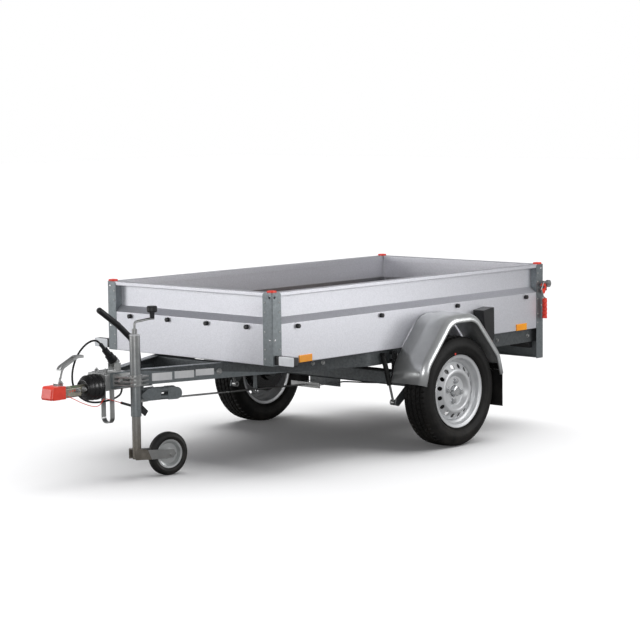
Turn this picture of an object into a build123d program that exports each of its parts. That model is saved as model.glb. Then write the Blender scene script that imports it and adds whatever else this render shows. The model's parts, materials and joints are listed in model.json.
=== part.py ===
from build123d import *
import os
from math import atan2, cos, degrees, hypot, pi, radians, sin, tan

# A single-axle utility trailer with an overrun brake, parked on its jockey wheel.
# X is across (the plus side is the trailer's left), Y runs from the coupling to the
# tailgate, Z is up, and the ground is at zero. While it is modelled, Y is counted
# from the outer face of the front wall; move_to_origin shifts it at the end.

# Load box
BOX_LENGTH = 2060.0
BOX_WIDTH = 1120.0
DECK_HEIGHT = 500.0
WALL_HEIGHT = 336.0
SHEET = 1.5
SHEET_BEND = 3.0
BAND_LOW = 189.0
BAND_HIGH = 218.0
RIM_HEIGHT = 19.0
RECESS = 36.0
HEM_HEIGHT = 30.0
HEM_GAP = 0.5
WALL_FLANGE = 45.0
FLOOR_THICKNESS = 9.0

# Corner posts and their caps
POST_WIDTH = 60.0
POST_SHEET = 2.0
POST_BEND = 6.0
POST_CORNER = 14.0
POST_HOLE = 13.0
POST_HOLE_INSET = 17.0
POST_HOLE_LOW = 118.0
POST_HOLE_HIGH = 315.0
REAR_POST_DROP = 160.0
REAR_POST_FLANGE = 40.0
CAP_SIZE = 37.0
CAP_HEIGHT = 9.0

# Tailgate, its hinges and latches
MOVING_CLEARANCE = 5.5
TAILGATE_SILL = 3.0
TAILGATE_FLANGE = 25.0
HINGE_AXIS_BACK = 14.5
HINGE_AXIS_DROP = 5.0
HINGE_RADIUS = 9.0
HINGE_PIN_RADIUS = 4.0
HINGE_FIT = 0.05
HINGE_SPREAD = 300.0
HINGE_KNUCKLE = 50.0
HINGE_LUG = 6.0
HINGE_LEAF_HEIGHT = 60.0
LATCH_HEIGHT = 215.0
LATCH_OFFSET = 6.5
GRIP_RADIUS = 13.0
GRIP_LENGTH = 105.0

# Frame
RAIL_HEIGHT = 72.0
RAIL_SHEET = 3.0
RAIL_FLANGE = 40.0
RAIL_SPREAD = 530.0
RAIL_BEND_BACK = 690.0
RAIL_BEND_RADIUS = 120.0
HEAD_HALF_WIDTH = 60.0
HEAD_FRONT = 572.0
HEAD_STEP = 440.0
HEAD_BACK = 290.0
HEAD_TOP = 486.0
HEAD_BOTTOM = 411.0
HEAD_SHEET = 6.0
NECK_TUBE_RADIUS = 27.0
DRAWBAR_LEAN = 0.95
DRAWBAR_PIVOT = 305.0
HEAD_RAIL_START = 543.0
HEAD_RAIL_END = 440.0
HEAD_RAIL_RADIUS = 60.0
SEAT_GAP = 0.3
CROSS_FLANGE = 35.0
CROSS_PLACES = (0.0, 440.0, 1290.0)
SKIRT_SHEET = 2.0
SKIRT_LIP = 30.0

# Axle, wheels and brakes
WHEEL_BACK = 1147.6
TYRE_DIAMETER = 547.0
TYRE_WIDTH = 157.0
TYRE_WALL = 9.0
WHEEL_CENTRE = 658.0
RIM_SEAT_RADIUS = 165.0
RIM_FLANGE_RADIUS = 182.5
RIM_HALF_WIDTH = 64.7
RIM_SHEET = 3.0
RIM_WELL_RADIUS = 148.0
DISC_SHEET = 3.5
DISC_LAP = 1.0
WHEEL_OFFSET = 30.0
VENT_COUNT = 16
VENT_RADIUS = 11.0
VENT_CIRCLE = 122.0
CENTRE_HOLE_RADIUS = 29.0
BEAM_SIZE = 70.0
BEAM_BACK = 985.0
BEAM_HEIGHT = 338.0
BEAM_HALF_LENGTH = 545.0
BEAM_WALL = 5.0
ARM_INNER = 548.0
ARM_THICKNESS = 22.0
STUB_RADIUS = 15.0
BEARING_GAP = 0.05
DRUM_RADIUS = 108.0
PLATE_INNER = 588.0
DRUM_INNER = 594.0

# Mudguards
GUARD_INNER = 565.0
GUARD_OUTER = 760.0
GUARD_TOP = 656.0
GUARD_HALF_TOP = 105.0
GUARD_SHOULDER = 298.0
GUARD_SHOULDER_HEIGHT = 440.0
GUARD_END = 328.0
GUARD_END_HEIGHT = 340.0
GUARD_RADIUS = 140.0
GUARD_SHEET = 1.5
GUARD_DROP = 38.0
GUARD_EDGE_RADIUS = 18.0
GUARD_LIP = 10.0
STAY_SIDE = 556.5
STAY_SHEET = 4.0

# Coupling, overrun device and handbrake
SHAFT_HEIGHT = 424.0
SHAFT_RADIUS = 20.0
SHAFT_FRONT = 735.0
BALL_RADIUS = 25.2
BALL_FRONT = 824.0
BALL_HEIGHT = 412.0
SOCKET_LOW = 392.0
DOME_RADIUS = 33.0
COUPLING_HALF = 29.0
COUPLING_BACK = 690.0
COUPLING_LOW = 395.0
COUPLING_TOP = 440.0
CAP_FRONT = 872.0
CAP_BACK = 790.0
CAP_HALF = 41.0
CAP_LOW = 394.0
CAP_TOP = 452.0
CAP_WALL = 4.0
HANDLE_FRONT = -812.0
BELLOWS_FRONT = 655.0
BELLOWS_BACK = 578.0
BELLOWS_WALL = 3.0
LEVER_SIDE = 34.0
LEVER_THICKNESS = 8.0
LEVER_WIDTH = 28.0
GRIP_BAR_RADIUS = 14.0
HANDLE_HALF = 17.0
STRAP_WIDTH = 25.0
STRAP_SHEET = 5.0
STRAP_BACK = -508.0
STRAP_HALF = 32.0
STRAP_LOW = 248.0
BRAKE_ROD_RADIUS = 4.5
BRAKE_ROD_HEIGHT = 336.0
EQUALISER_BACK = 812.0
EQUALISER_HEIGHT = 284.0
EQUALISER_HALF = 85.0
INNER_CABLE_RADIUS = 1.6
BRAKE_CABLE = 7.0
SUPPLY_CABLE = 9.0
BREAKAWAY_CABLE = 3.5

# Jockey wheel
JOCKEY_SIDE = 140.0
JOCKEY_FRONT = 462.0
JOCKEY_TUBE_RADIUS = 24.0
JOCKEY_TUBE_WALL = 3.0
JOCKEY_TUBE_LOW = 288.0
JOCKEY_TUBE_HIGH = 656.0
JOCKEY_INNER_RADIUS = 20.0
JOCKEY_INNER_LOW = 92.0
JOCKEY_INNER_HIGH = 400.0
JOCKEY_WHEEL_RADIUS = 100.0
JOCKEY_WHEEL_WIDTH = 48.0
JOCKEY_TRAIL = 163.0
JOCKEY_TURN = 12.0
JOCKEY_SLIDE_GAP = 0.5
CRANK_TOP = 718.0
CRANK_REACH = 110.0
CRANK_RADIUS = 5.5
SPINDLE_RADIUS = 8.0

# Lamps, knobs and dampers
LAMP_MIDDLE = 425.0
LAMP_WIDTH = 170.0
LAMP_HEIGHT = 120.0
LAMP_LOW = 366.0
LAMP_PROUD = 21.0
LAMP_INSET = 22.0
REFLECTORS = (219.0, 1869.0)
CHOCK_BACK = -196.0
CHOCK_LENGTH = 200.0
KNOB_HEIGHT = 672.0
SIDE_KNOBS = (168.0, 756.0, 1337.0, 1905.0)
FRONT_KNOBS = (-397.5, -132.5, 132.5, 397.5)
DAMPER_SIDE = 543.5
DAMPER_RADIUS = 12.5
DAMPER_TOP = (785.0, 478.0)
DAMPER_LOW = (860.0, 236.0)

# Worked-out places
X_OUT = BOX_WIDTH / 2 - POST_SHEET
Y_FRONT = POST_SHEET
Y_REAR = BOX_LENGTH - POST_SHEET
RIM_TOP = DECK_HEIGHT + WALL_HEIGHT
RIM_LOW = RIM_TOP - RIM_HEIGHT
RIM_DEPTH = RECESS + 2 * SHEET + HEM_GAP
FLOOR_LOW = DECK_HEIGHT + SHEET
FLOOR_TOP = FLOOR_LOW + FLOOR_THICKNESS
RAIL_LOW = DECK_HEIGHT - RAIL_HEIGHT
WHEEL_HEIGHT = TYRE_DIAMETER / 2
CABLE_STOP = BEAM_BACK - 25.0
HINGE_Y = Y_REAR + HINGE_AXIS_BACK
HINGE_Z = DECK_HEIGHT - HINGE_AXIS_DROP
TAILGATE_HALF = X_OUT - RIM_DEPTH - MOVING_CLEARANCE

PLUG_LOW = (0.0, -455.0, 516.0)
PLUG_LENGTH = 132.0
PLUG_RADIUS = 20.0
PLUG_AXIS = Vector(0.0, -90.0, 100.0).normalized()
CABLE_SHELF = 424.0
GUIDE_EYE = (46.0, -567.5, 372.0)
LEVER_PIVOT = (-345.0, 450.0)
LEVER_LINE = [(-400.0, 638.0), (-352.0, 560.0), (-345.0, 450.0), (-345.0, 300.0), (-302.0, 262.0)]
GRIP_LINE = [(-579.0, 773.0), (-470.0, 698.0), (-398.0, 636.0)]

# The supply cable, from the plug's gland over the draw shaft and back under it to the housing
PLUG_END = Vector(*PLUG_LOW) + PLUG_AXIS * PLUG_LENGTH
SUPPLY_ROUTE = [
    tuple(PLUG_END), tuple(PLUG_END + PLUG_AXIS * 22), (-6.0, -588.0, 636.0), (-18.0, -622.0, 617.0), (-31.0, -650.0, 582.0),
    (-39.0, -672.0, 535.0), (-44.0, -681.0, 482.0), (-47.0, -673.0, 432.0), (-46.0, -648.0, 389.0),
    (-38.0, -610.0, 359.0), (-25.0, -570.0, 347.0), (-10.0, -530.0, 348.0), (6.0, -497.0, 354.0),
    (24.0, -470.0, 366.0), (38.0, -454.0, 387.0), (38.0, -454.0, CABLE_SHELF - 8),
]

# The breakaway cable, from the coupling's side through the guide eye to its clip
BREAKAWAY_ROUTE = [
    (33.5, -780.0, 407.0), (37.0, -750.0, 393.0), (41.0, -715.0, 374.0), (43.0, -681.0, 359.0),
    (45.0, -648.0, 347.0), (46.0, -619.0, 340.0), (46.0, -597.0, 345.0), (46.0, -583.0, 359.0),
    (46.0, -573.0, 370.0), (46.0, -556.0, 370.0), (46.0, -530.0, 362.0), (45.5, -500.0, 352.0),
    (45.0, -466.0, 341.0),
]

RAIL_LINE = [
    (HEAD_HALF_WIDTH + SEAT_GAP + RAIL_SHEET, -HEAD_RAIL_START),
    (HEAD_HALF_WIDTH + SEAT_GAP + RAIL_SHEET, -HEAD_RAIL_END),
    (RAIL_SPREAD, RAIL_BEND_BACK),
    (RAIL_SPREAD, Y_REAR - SKIRT_SHEET),
]

LOW_END = (Align.CENTER, Align.CENTER, Align.MIN)


def folded(points, thickness, bend):
    """The section of a bent sheet: a line with rounded bends, thickened to its left."""
    with BuildSketch() as section:
        with BuildLine():
            FilletPolyline(*points, radius=bend)
            offset(amount=thickness, side=Side.LEFT)
        make_face()
    return section.sketch


def outline(*points):
    """A face with straight sides."""
    return make_face(Polyline(*points, close=True))


def along_y(section, start, end):
    """Draw a section seen from the front out along Y."""
    plane = Plane(origin=(0, start, 0), x_dir=(1, 0, 0), z_dir=(0, -1, 0))
    return extrude(plane * section, amount=start - end)


def along_x(section, start, end):
    """Draw a section of Y and Z out along X."""
    plane = Plane(origin=(start, 0, 0), x_dir=(0, 1, 0), z_dir=(1, 0, 0))
    return extrude(plane * section, amount=end - start)


def upright(section, low, high):
    """Draw a section seen from above up from one height to another."""
    return extrude(Pos(0, 0, low) * section, amount=high - low)


def block(x0, x1, y0, y1, z0, z1):
    """A box between two corners."""
    return Pos((x0 + x1) / 2, (y0 + y1) / 2, (z0 + z1) / 2) * Box(x1 - x0, y1 - y0, z1 - z0)


def rod(start, end, radius):
    """A round bar between two points."""
    reach = Vector(*end) - Vector(*start)
    return Plane(origin=start, z_dir=reach) * Cylinder(radius, reach.length, align=LOW_END)


def turned_x(profile, y, z):
    """Turn a profile of X and radius about an axis along X."""
    plane = Plane(origin=(0, y, z), x_dir=(1, 0, 0), z_dir=(0, -1, 0))
    return revolve(plane * profile, axis=Axis((0, y, z), (1, 0, 0)))


def turned_y(profile, x, z):
    """Turn a profile of Y and radius about an axis along Y."""
    plane = Plane(origin=(x, 0, z), x_dir=(0, 1, 0), z_dir=(1, 0, 0))
    return revolve(plane * profile, axis=Axis((x, 0, z), (0, 1, 0)))


def turned_z(profile, x, y):
    """Turn a profile of radius and Z about an upright axis."""
    plane = Plane(origin=(x, y, 0), x_dir=(1, 0, 0), z_dir=(0, -1, 0))
    return revolve(plane * profile, axis=Axis((x, y, 0), (0, 0, 1)))


def other_side(shape):
    """The same piece on the trailer's right."""
    return mirror(shape, about=Plane.YZ)


def both_sides(shape):
    """The piece on the left and its twin on the right, as separate solids."""
    return Compound(list(shape.solids()) + list(other_side(shape).solids()))


def tube_route(points, diameter):
    """A round cord along straight runs joined by the largest arcs that the runs allow."""
    spots = [Vector(*p) for p in points]
    radii = []
    for before, here, after in zip(spots, spots[1:], spots[2:]):
        first, second = here - before, after - here
        turn = radians(first.get_angle(second))
        radii.append(0.45 * min(first.length, second.length) / tan(turn / 2))
    print("cord radii", [round(r) for r in radii])
    path = FilletPolyline(*points, radius=radii)
    start = Plane(origin=path @ 0, z_dir=path % 0)
    body = sweep(start * Circle(diameter / 2), path=path)
    print("cord length", round(path.length), "volume share", body.volume / (pi * diameter**2 / 4 * path.length))
    return body


# Walls

def wall_line(low, flange):
    """The outer side of a wall's section: outward to the right, up the page."""
    return [
        (-flange, low),
        (0, low),
        (0, DECK_HEIGHT + BAND_LOW),
        (-RECESS, DECK_HEIGHT + BAND_HIGH),
        (-RECESS, RIM_LOW),
        (0, RIM_LOW),
        (0, RIM_TOP),
        (-RIM_DEPTH, RIM_TOP),
        (-RIM_DEPTH, RIM_TOP - HEM_HEIGHT),
    ]


def wall(length, low, flange, start_mitre, end_mitre):
    """A pressed wall along Y with its outer face at X zero, mitred where asked."""
    panel = along_y(folded(wall_line(low, flange), SHEET, SHEET_BEND), -length / 2, length / 2)
    deep = WALL_FLANGE + SHEET_BEND
    nick = POST_BEND - POST_SHEET
    start = -length / 2
    end = length / 2
    plan = [(1, start), (-deep, start)]
    if start_mitre:
        plan = [(1, start + nick), (-nick, start + nick), (-deep, start + deep)]
    if end_mitre:
        plan += [(-deep, end - deep), (-nick, end - nick), (1, end - nick)]
    else:
        plan += [(-deep, end), (1, end)]
    return panel & upright(outline(*plan), low - 1, RIM_TOP + 1)


def side_wall():
    end = Y_REAR - (POST_BEND - POST_SHEET)
    length = end - Y_FRONT
    return Pos(X_OUT, (Y_FRONT + end) / 2, 0) * wall(length, DECK_HEIGHT, WALL_FLANGE, True, False)


def front_wall():
    return Pos(0, Y_FRONT, 0) * Rot(0, 0, -90) * wall(2 * X_OUT, DECK_HEIGHT, WALL_FLANGE, True, True)


def floor():
    edge = X_OUT - SHEET_BEND - SEAT_GAP
    return block(-edge, edge, Y_FRONT + SHEET_BEND + SEAT_GAP, Y_REAR - RIM_DEPTH - MOVING_CLEARANCE,
                 FLOOR_LOW, FLOOR_TOP)


# Posts

def return_flange():
    """The post's turned-in edge, cut to the recess: outward to the right, up the page."""
    return outline(
        (-SEAT_GAP, DECK_HEIGHT + BAND_LOW + 1.5),
        (-SEAT_GAP, RIM_LOW - 1),
        (1 - RECESS, RIM_LOW - 1),
        (1 - RECESS, DECK_HEIGHT + BAND_HIGH + 1.5),
    )


def post(low, back_flange):
    """The left front post. Its flanges stand on the box's front and left faces."""
    half = BOX_WIDTH / 2
    line = [(half - back_flange, 0), (half, 0), (half, POST_WIDTH)]
    body = upright(folded(line, POST_SHEET, POST_BEND), low, RIM_TOP)
    corners = [e for e in body.edges()
               if e.center().Z > RIM_TOP - 0.1 and e.length < 1.5 * POST_SHEET]
    body = fillet(corners, POST_CORNER)
    side_turn = along_y(Pos(X_OUT, 0) * return_flange(), POST_WIDTH - POST_SHEET, POST_WIDTH)
    joint = block(X_OUT - SEAT_GAP - 0.1, X_OUT + 0.1, POST_WIDTH - POST_SHEET, POST_WIDTH,
                  DECK_HEIGHT + BAND_LOW + 1.5, RIM_LOW - 1)
    body = body + side_turn + joint
    for height in (POST_HOLE_LOW, POST_HOLE_HIGH):
        z = DECK_HEIGHT + height
        front = (half - POST_HOLE_INSET, -1, z)
        body -= rod(front, (half - POST_HOLE_INSET, POST_SHEET + 1, z), POST_HOLE / 2)
        side = (half + 1, POST_HOLE_INSET, z)
        body -= rod(side, (half - POST_SHEET - 1, POST_HOLE_INSET, z), POST_HOLE / 2)
    return body


def front_post():
    front_turn = along_x(Pos(0, 0) * mirror(return_flange(), about=Plane.YZ), 0, POST_SHEET)
    front_turn = Pos(BOX_WIDTH / 2 - POST_WIDTH, Y_FRONT, 0) * front_turn
    joint = block(BOX_WIDTH / 2 - POST_WIDTH, BOX_WIDTH / 2 - POST_WIDTH + POST_SHEET,
                  Y_FRONT - 0.1, Y_FRONT + SEAT_GAP + 0.1, DECK_HEIGHT + BAND_LOW + 1.5, RIM_LOW - 1)
    return post(DECK_HEIGHT, POST_WIDTH) + front_turn + joint


def rear_post():
    """The rear post mirrors the front one and reaches down to carry the lamp panel."""
    turned = mirror(post(DECK_HEIGHT - REAR_POST_DROP, REAR_POST_FLANGE), about=Plane.XZ)
    return Pos(0, BOX_LENGTH, 0) * turned


def cap():
    """A plug on the corner of the rim, with a domed top."""
    body = Box(CAP_SIZE, CAP_SIZE, CAP_HEIGHT, align=LOW_END)
    body = fillet(body.edges().filter_by(Axis.Z), 8)
    body = fillet(body.faces().sort_by(Axis.Z)[-1].edges(), 4)
    return Pos(X_OUT - CAP_SIZE / 2, Y_FRONT + CAP_SIZE / 2, RIM_TOP) * body


def post_caps():
    """The rear pair stands a little forward, clear of the tailgate."""
    rear = Pos(0, BOX_LENGTH - MOVING_CLEARANCE, 0) * mirror(cap(), about=Plane.XZ)
    return both_sides(cap() + rear)


def knob():
    """A tarpaulin knob standing along plus X from the origin."""
    profile = outline((0, 0), (0, 11), (4, 11), (6, 6.5), (9, 6.5), (9, 10.5), (14, 10.5), (16, 8), (16, 0))
    return turned_x(profile, 0, 0)


def side_knobs():
    return Compound([Pos(X_OUT, y, KNOB_HEIGHT) * knob() for y in SIDE_KNOBS])


def front_knobs():
    return Compound([Pos(x, Y_FRONT, KNOB_HEIGHT) * Rot(0, 0, -90) * knob() for x in FRONT_KNOBS])


def tailgate_knobs():
    return Compound([Pos(x, Y_REAR, KNOB_HEIGHT) * Rot(0, 0, 90) * knob() for x in FRONT_KNOBS])


# Tailgate

def tailgate():
    """The hinged rear wall: the same pressing, closed at both ends."""
    low = DECK_HEIGHT + TAILGATE_SILL
    body = wall(2 * TAILGATE_HALF, low, TAILGATE_FLANGE, False, False)
    end = outline(
        (-RIM_DEPTH, low), (-RIM_DEPTH, RIM_TOP), (0, RIM_TOP), (0, RIM_LOW), (-RECESS, RIM_LOW),
        (-RECESS, DECK_HEIGHT + BAND_HIGH), (0, DECK_HEIGHT + BAND_LOW), (0, low),
    )
    body += along_y(end, -TAILGATE_HALF, SHEET - TAILGATE_HALF)
    body += along_y(end, TAILGATE_HALF - SHEET, TAILGATE_HALF)
    return Pos(0, Y_REAR, 0) * Rot(0, 0, 90) * body


def hinge_leaves():
    """Leaves on the tailgate, each with a knuckle that turns on the hinge pin."""
    made = []
    for x in (-HINGE_SPREAD, HINGE_SPREAD):
        x0, x1 = x - HINGE_KNUCKLE / 2, x + HINGE_KNUCKLE / 2
        low = DECK_HEIGHT + TAILGATE_SILL
        leaf = block(x0, x1, Y_REAR, Y_REAR + SKIRT_SHEET, low, low + HINGE_LEAF_HEIGHT)
        arm = block(x0, x1, Y_REAR, HINGE_Y, low, HINGE_Z + HINGE_RADIUS)
        barrel = rod((x0, HINGE_Y, HINGE_Z), (x1, HINGE_Y, HINGE_Z), HINGE_RADIUS)
        bore = rod((x0 - 1, HINGE_Y, HINGE_Z), (x1 + 1, HINGE_Y, HINGE_Z), HINGE_PIN_RADIUS + HINGE_FIT)
        made.append((leaf + arm + barrel) - bore)
    return Compound(made)


def hinge_lugs():
    """Pins held in pairs of lugs on the lamp panel."""
    made = []
    for x in (-HINGE_SPREAD, HINGE_SPREAD):
        inner = HINGE_KNUCKLE / 2 + SEAT_GAP
        pin = rod((x - inner - HINGE_LUG, HINGE_Y, HINGE_Z), (x + inner + HINGE_LUG, HINGE_Y, HINGE_Z),
                  HINGE_PIN_RADIUS)
        for start in (x - inner - HINGE_LUG, x + inner):
            eye = rod((start, HINGE_Y, HINGE_Z), (start + HINGE_LUG, HINGE_Y, HINGE_Z), HINGE_RADIUS)
            foot = outline((Y_REAR, HINGE_Z - 30), (Y_REAR, HINGE_Z - 2), (HINGE_Y, HINGE_Z + 2),
                           (HINGE_Y + HINGE_RADIUS - 1, HINGE_Z - 4), (HINGE_Y - 6, HINGE_Z - 18))
            pin += eye + along_x(foot, start, start + HINGE_LUG)
        made.append(pin)
    return Compound(made)


def latch_plate():
    """The carrier on the tailgate that reaches past the post, with its side cheek."""
    z = DECK_HEIGHT + LATCH_HEIGHT
    back = Y_REAR + POST_SHEET + LATCH_OFFSET
    foot = block(TAILGATE_HALF - 50, TAILGATE_HALF - 10, Y_REAR, back, z - 55, z + 30)
    plate = block(TAILGATE_HALF - 50, BOX_WIDTH / 2 + 16, back, back + 4, z - 20, z + 30)
    cheek_x = BOX_WIDTH / 2 + 8
    boss = rod((cheek_x, back + 15, z + 16), (cheek_x + 14.7, back + 15, z + 16), 19)
    side = block(cheek_x, cheek_x + 4, Y_REAR - 40, back + 4, z - 14, z + 14)
    slot = block(cheek_x - 1, cheek_x + 5, Y_REAR - 41, Y_REAR - 12, z - 6, z + 6)
    return foot + plate + boss + (side - slot)


def latch_catch():
    """The orange safety catch on the side cheek, open towards the front."""
    z = DECK_HEIGHT + LATCH_HEIGHT
    x = BOX_WIDTH / 2 + 12 + SEAT_GAP
    ring = rod((x, Y_REAR - 20, z), (x + 8, Y_REAR - 20, z), 21)
    tail = along_x(outline((Y_REAR - 38, z - 6), (Y_REAR - 26, z - 34), (Y_REAR - 14, z - 34),
                           (Y_REAR + 3, z - 8)), x, x + 8)
    slot = block(x - 1, x + 9, Y_REAR - 50, Y_REAR - 12, z - 7, z + 7)
    return ring + tail - slot


def latch_lever():
    """The bent zinc rod that wraps the post and carries the grip."""
    z = DECK_HEIGHT + LATCH_HEIGHT
    x = BOX_WIDTH / 2 + 27
    route = [(x, Y_REAR + 24, z + 14), (x, Y_REAR - 30, z + 32), (x, Y_REAR - 52, z - 8),
             (x, Y_REAR - 34, z - 48), (x, Y_REAR - 16, z - 60)]
    path = FilletPolyline(*route, radius=[14, 18, 12])
    start = Plane(origin=path @ 0, z_dir=path % 0)
    bar = sweep(start * Circle(4), path=path)
    return bar


def latch_grip():
    """The ribbed hand grip, hanging beside the post."""
    x = BOX_WIDTH / 2 + 27
    top = DECK_HEIGHT + LATCH_HEIGHT - 58
    y = Y_REAR - 22
    points = [(0, 0), (GRIP_RADIUS, 0)]
    ribs = 5
    step = GRIP_LENGTH / ribs
    for k in range(ribs):
        points += [(GRIP_RADIUS, step * (k + 0.62)), (GRIP_RADIUS - 2.5, step * (k + 0.81)),
                   (GRIP_RADIUS, step * (k + 1))]
    points += [(0, GRIP_LENGTH)]
    return Pos(0, 0, top - GRIP_LENGTH) * turned_z(outline(*points), x, y) - latch_lever()


def post_pin():
    """The striker on the rear post that the catch closes round."""
    z = DECK_HEIGHT + LATCH_HEIGHT
    return rod((BOX_WIDTH / 2, Y_REAR - 20, z), (BOX_WIDTH / 2 + 20.5, Y_REAR - 20, z), 4.5)


# Frame

def plan_strip(points, radii, width, low, high):
    return upright(folded(points, width, radii), low, high)


def rail():
    """The left frame rail: a channel, open inwards, whose drawbar arm leans down to the head."""
    radii = [HEAD_RAIL_RADIUS, RAIL_BEND_RADIUS]
    web = plan_strip(RAIL_LINE, radii, RAIL_SHEET, RAIL_LOW, DECK_HEIGHT)
    top = plan_strip(RAIL_LINE, radii, RAIL_FLANGE, DECK_HEIGHT - RAIL_SHEET, DECK_HEIGHT)
    bottom = plan_strip(RAIL_LINE, radii, RAIL_FLANGE, RAIL_LOW, RAIL_LOW + RAIL_SHEET)
    whole = web + top + bottom
    far = 2 * BOX_LENGTH
    lap = RAIL_SHEET
    front = whole & block(-far, far, -far, DRAWBAR_PIVOT + lap, 0, far)
    back = whole & block(-far, far, DRAWBAR_PIVOT, far, 0, far)
    pivot = Pos(0, DRAWBAR_PIVOT, RAIL_LOW)
    front = pivot * Rot(DRAWBAR_LEAN, 0, 0) * pivot.inverse() * front
    head = HEAD_HALF_WIDTH + SEAT_GAP
    lever_room = LEVER_SIDE + LEVER_THICKNESS + SEAT_GAP + 3
    room = block(-head, head, -far, -HEAD_STEP, 0, far)
    room += block(-lever_room, lever_room, -HEAD_STEP - 1, -HEAD_BACK, 0, far)
    return back + front - room


def rail_drop(y):
    """How far the leaning part of the rail has come down at a place along it."""
    return max(0.0, DRAWBAR_PIVOT - y) * tan(radians(DRAWBAR_LEAN))


def rail_x(y):
    """The outer face of the left rail's web at a place between its two bends."""
    (x0, y0), (x1, y1) = RAIL_LINE[1:3]
    return x0 + (x1 - x0) * (y - y0) / (y1 - y0)


def cross_member(y):
    """A channel between the two rails, open to the rear, within their flanges."""
    slope = (RAIL_LINE[2][0] - RAIL_LINE[1][0]) / (RAIL_LINE[2][1] - RAIL_LINE[1][1])
    web_width = RAIL_SHEET * hypot(1, slope)
    half = (rail_x(y) if y < RAIL_BEND_BACK else RAIL_SPREAD) - web_width - 1
    low = RAIL_LOW + RAIL_SHEET + SEAT_GAP - rail_drop(y + CROSS_FLANGE)
    high = DECK_HEIGHT - RAIL_SHEET - SEAT_GAP - rail_drop(y)
    line = [(CROSS_FLANGE, low), (0, low), (0, high), (CROSS_FLANGE, high)]
    section = mirror(folded([(-a, b) for a, b in line], RAIL_SHEET, 5), about=Plane.YZ)
    return Pos(0, y, 0) * along_x(section, -half, half)


def cross_members():
    """Three channels, the middle one with the hanger of the brake rod."""
    front, middle, back = [cross_member(y) for y in CROSS_PLACES]
    return Compound([front, middle + rod_hanger(), back])


def rear_skirt():
    """The lamp panel between the rear posts, with openings for the lamps."""
    low = DECK_HEIGHT - REAR_POST_DROP
    line = [(Y_REAR - SKIRT_LIP, low), (Y_REAR, low), (Y_REAR, DECK_HEIGHT - 2)]
    half = X_OUT - POST_BEND
    panel = along_x(folded(line, SKIRT_SHEET, SHEET_BEND), -half, half)
    for x in (-LAMP_MIDDLE, LAMP_MIDDLE):
        panel -= block(x - LAMP_WIDTH / 2 + LAMP_INSET, x + LAMP_WIDTH / 2 - LAMP_INSET, Y_REAR - 10,
                       Y_REAR + 10, LAMP_LOW + LAMP_INSET, LAMP_LOW + LAMP_HEIGHT - LAMP_INSET)
    return panel


def rear_lamps():
    """Multi-function lamps: a lens behind the panel and a housing through it."""
    made = []
    for x in (-LAMP_MIDDLE, LAMP_MIDDLE):
        lens = block(x - LAMP_WIDTH / 2, x + LAMP_WIDTH / 2, Y_REAR, Y_REAR + LAMP_PROUD,
                     LAMP_LOW, LAMP_LOW + LAMP_HEIGHT)
        lens = fillet(lens.edges().filter_by(Axis.Y), 12)
        lens = fillet(lens.faces().sort_by(Axis.Y)[-1].edges(), 5)
        inset = LAMP_INSET + SEAT_GAP
        body = block(x - LAMP_WIDTH / 2 + inset, x + LAMP_WIDTH / 2 - inset, Y_REAR - 25, Y_REAR,
                     LAMP_LOW + inset, LAMP_LOW + LAMP_HEIGHT - inset)
        made.append(lens + body)
    return Compound(made)


# Axle and running gear

def axle_beam():
    """The square axle tube with the rails' seats welded on it and the brake cables' stop below."""
    half = BEAM_SIZE / 2
    tube = block(-BEAM_HALF_LENGTH, BEAM_HALF_LENGTH, BEAM_BACK - half, BEAM_BACK + half,
                 BEAM_HEIGHT - half, BEAM_HEIGHT + half)
    tube = fillet(tube.edges().filter_by(Axis.X), 9)
    inner = half - BEAM_WALL
    hollow = block(-BEAM_HALF_LENGTH - 1, BEAM_HALF_LENGTH + 1, BEAM_BACK - inner, BEAM_BACK + inner,
                   BEAM_HEIGHT - inner, BEAM_HEIGHT + inner)
    tube -= fillet(hollow.edges().filter_by(Axis.X), 5)
    top = BEAM_HEIGHT + half
    outer = RAIL_SPREAD - 2
    cheek = outline((BEAM_BACK - 85, RAIL_LOW), (BEAM_BACK + 85, RAIL_LOW), (BEAM_BACK + 34, top - 12),
                    (BEAM_BACK - 34, top - 12))
    saddle = along_x(cheek, outer - 5, outer) + along_x(cheek, outer - 36, outer - 31)
    saddle += block(outer - 36, outer, BEAM_BACK - 85, BEAM_BACK + 85, RAIL_LOW - 5, RAIL_LOW)
    solid_tube = block(0, BEAM_HALF_LENGTH, BEAM_BACK - half, BEAM_BACK + half, BEAM_HEIGHT - half, top)
    saddle -= solid_tube
    reach = EQUALISER_HALF + 18
    stop = block(-reach, reach, CABLE_STOP, CABLE_STOP + 4, EQUALISER_HEIGHT - 20, BEAM_HEIGHT - half + 2)
    return tube + saddle + other_side(saddle) + stop


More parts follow.
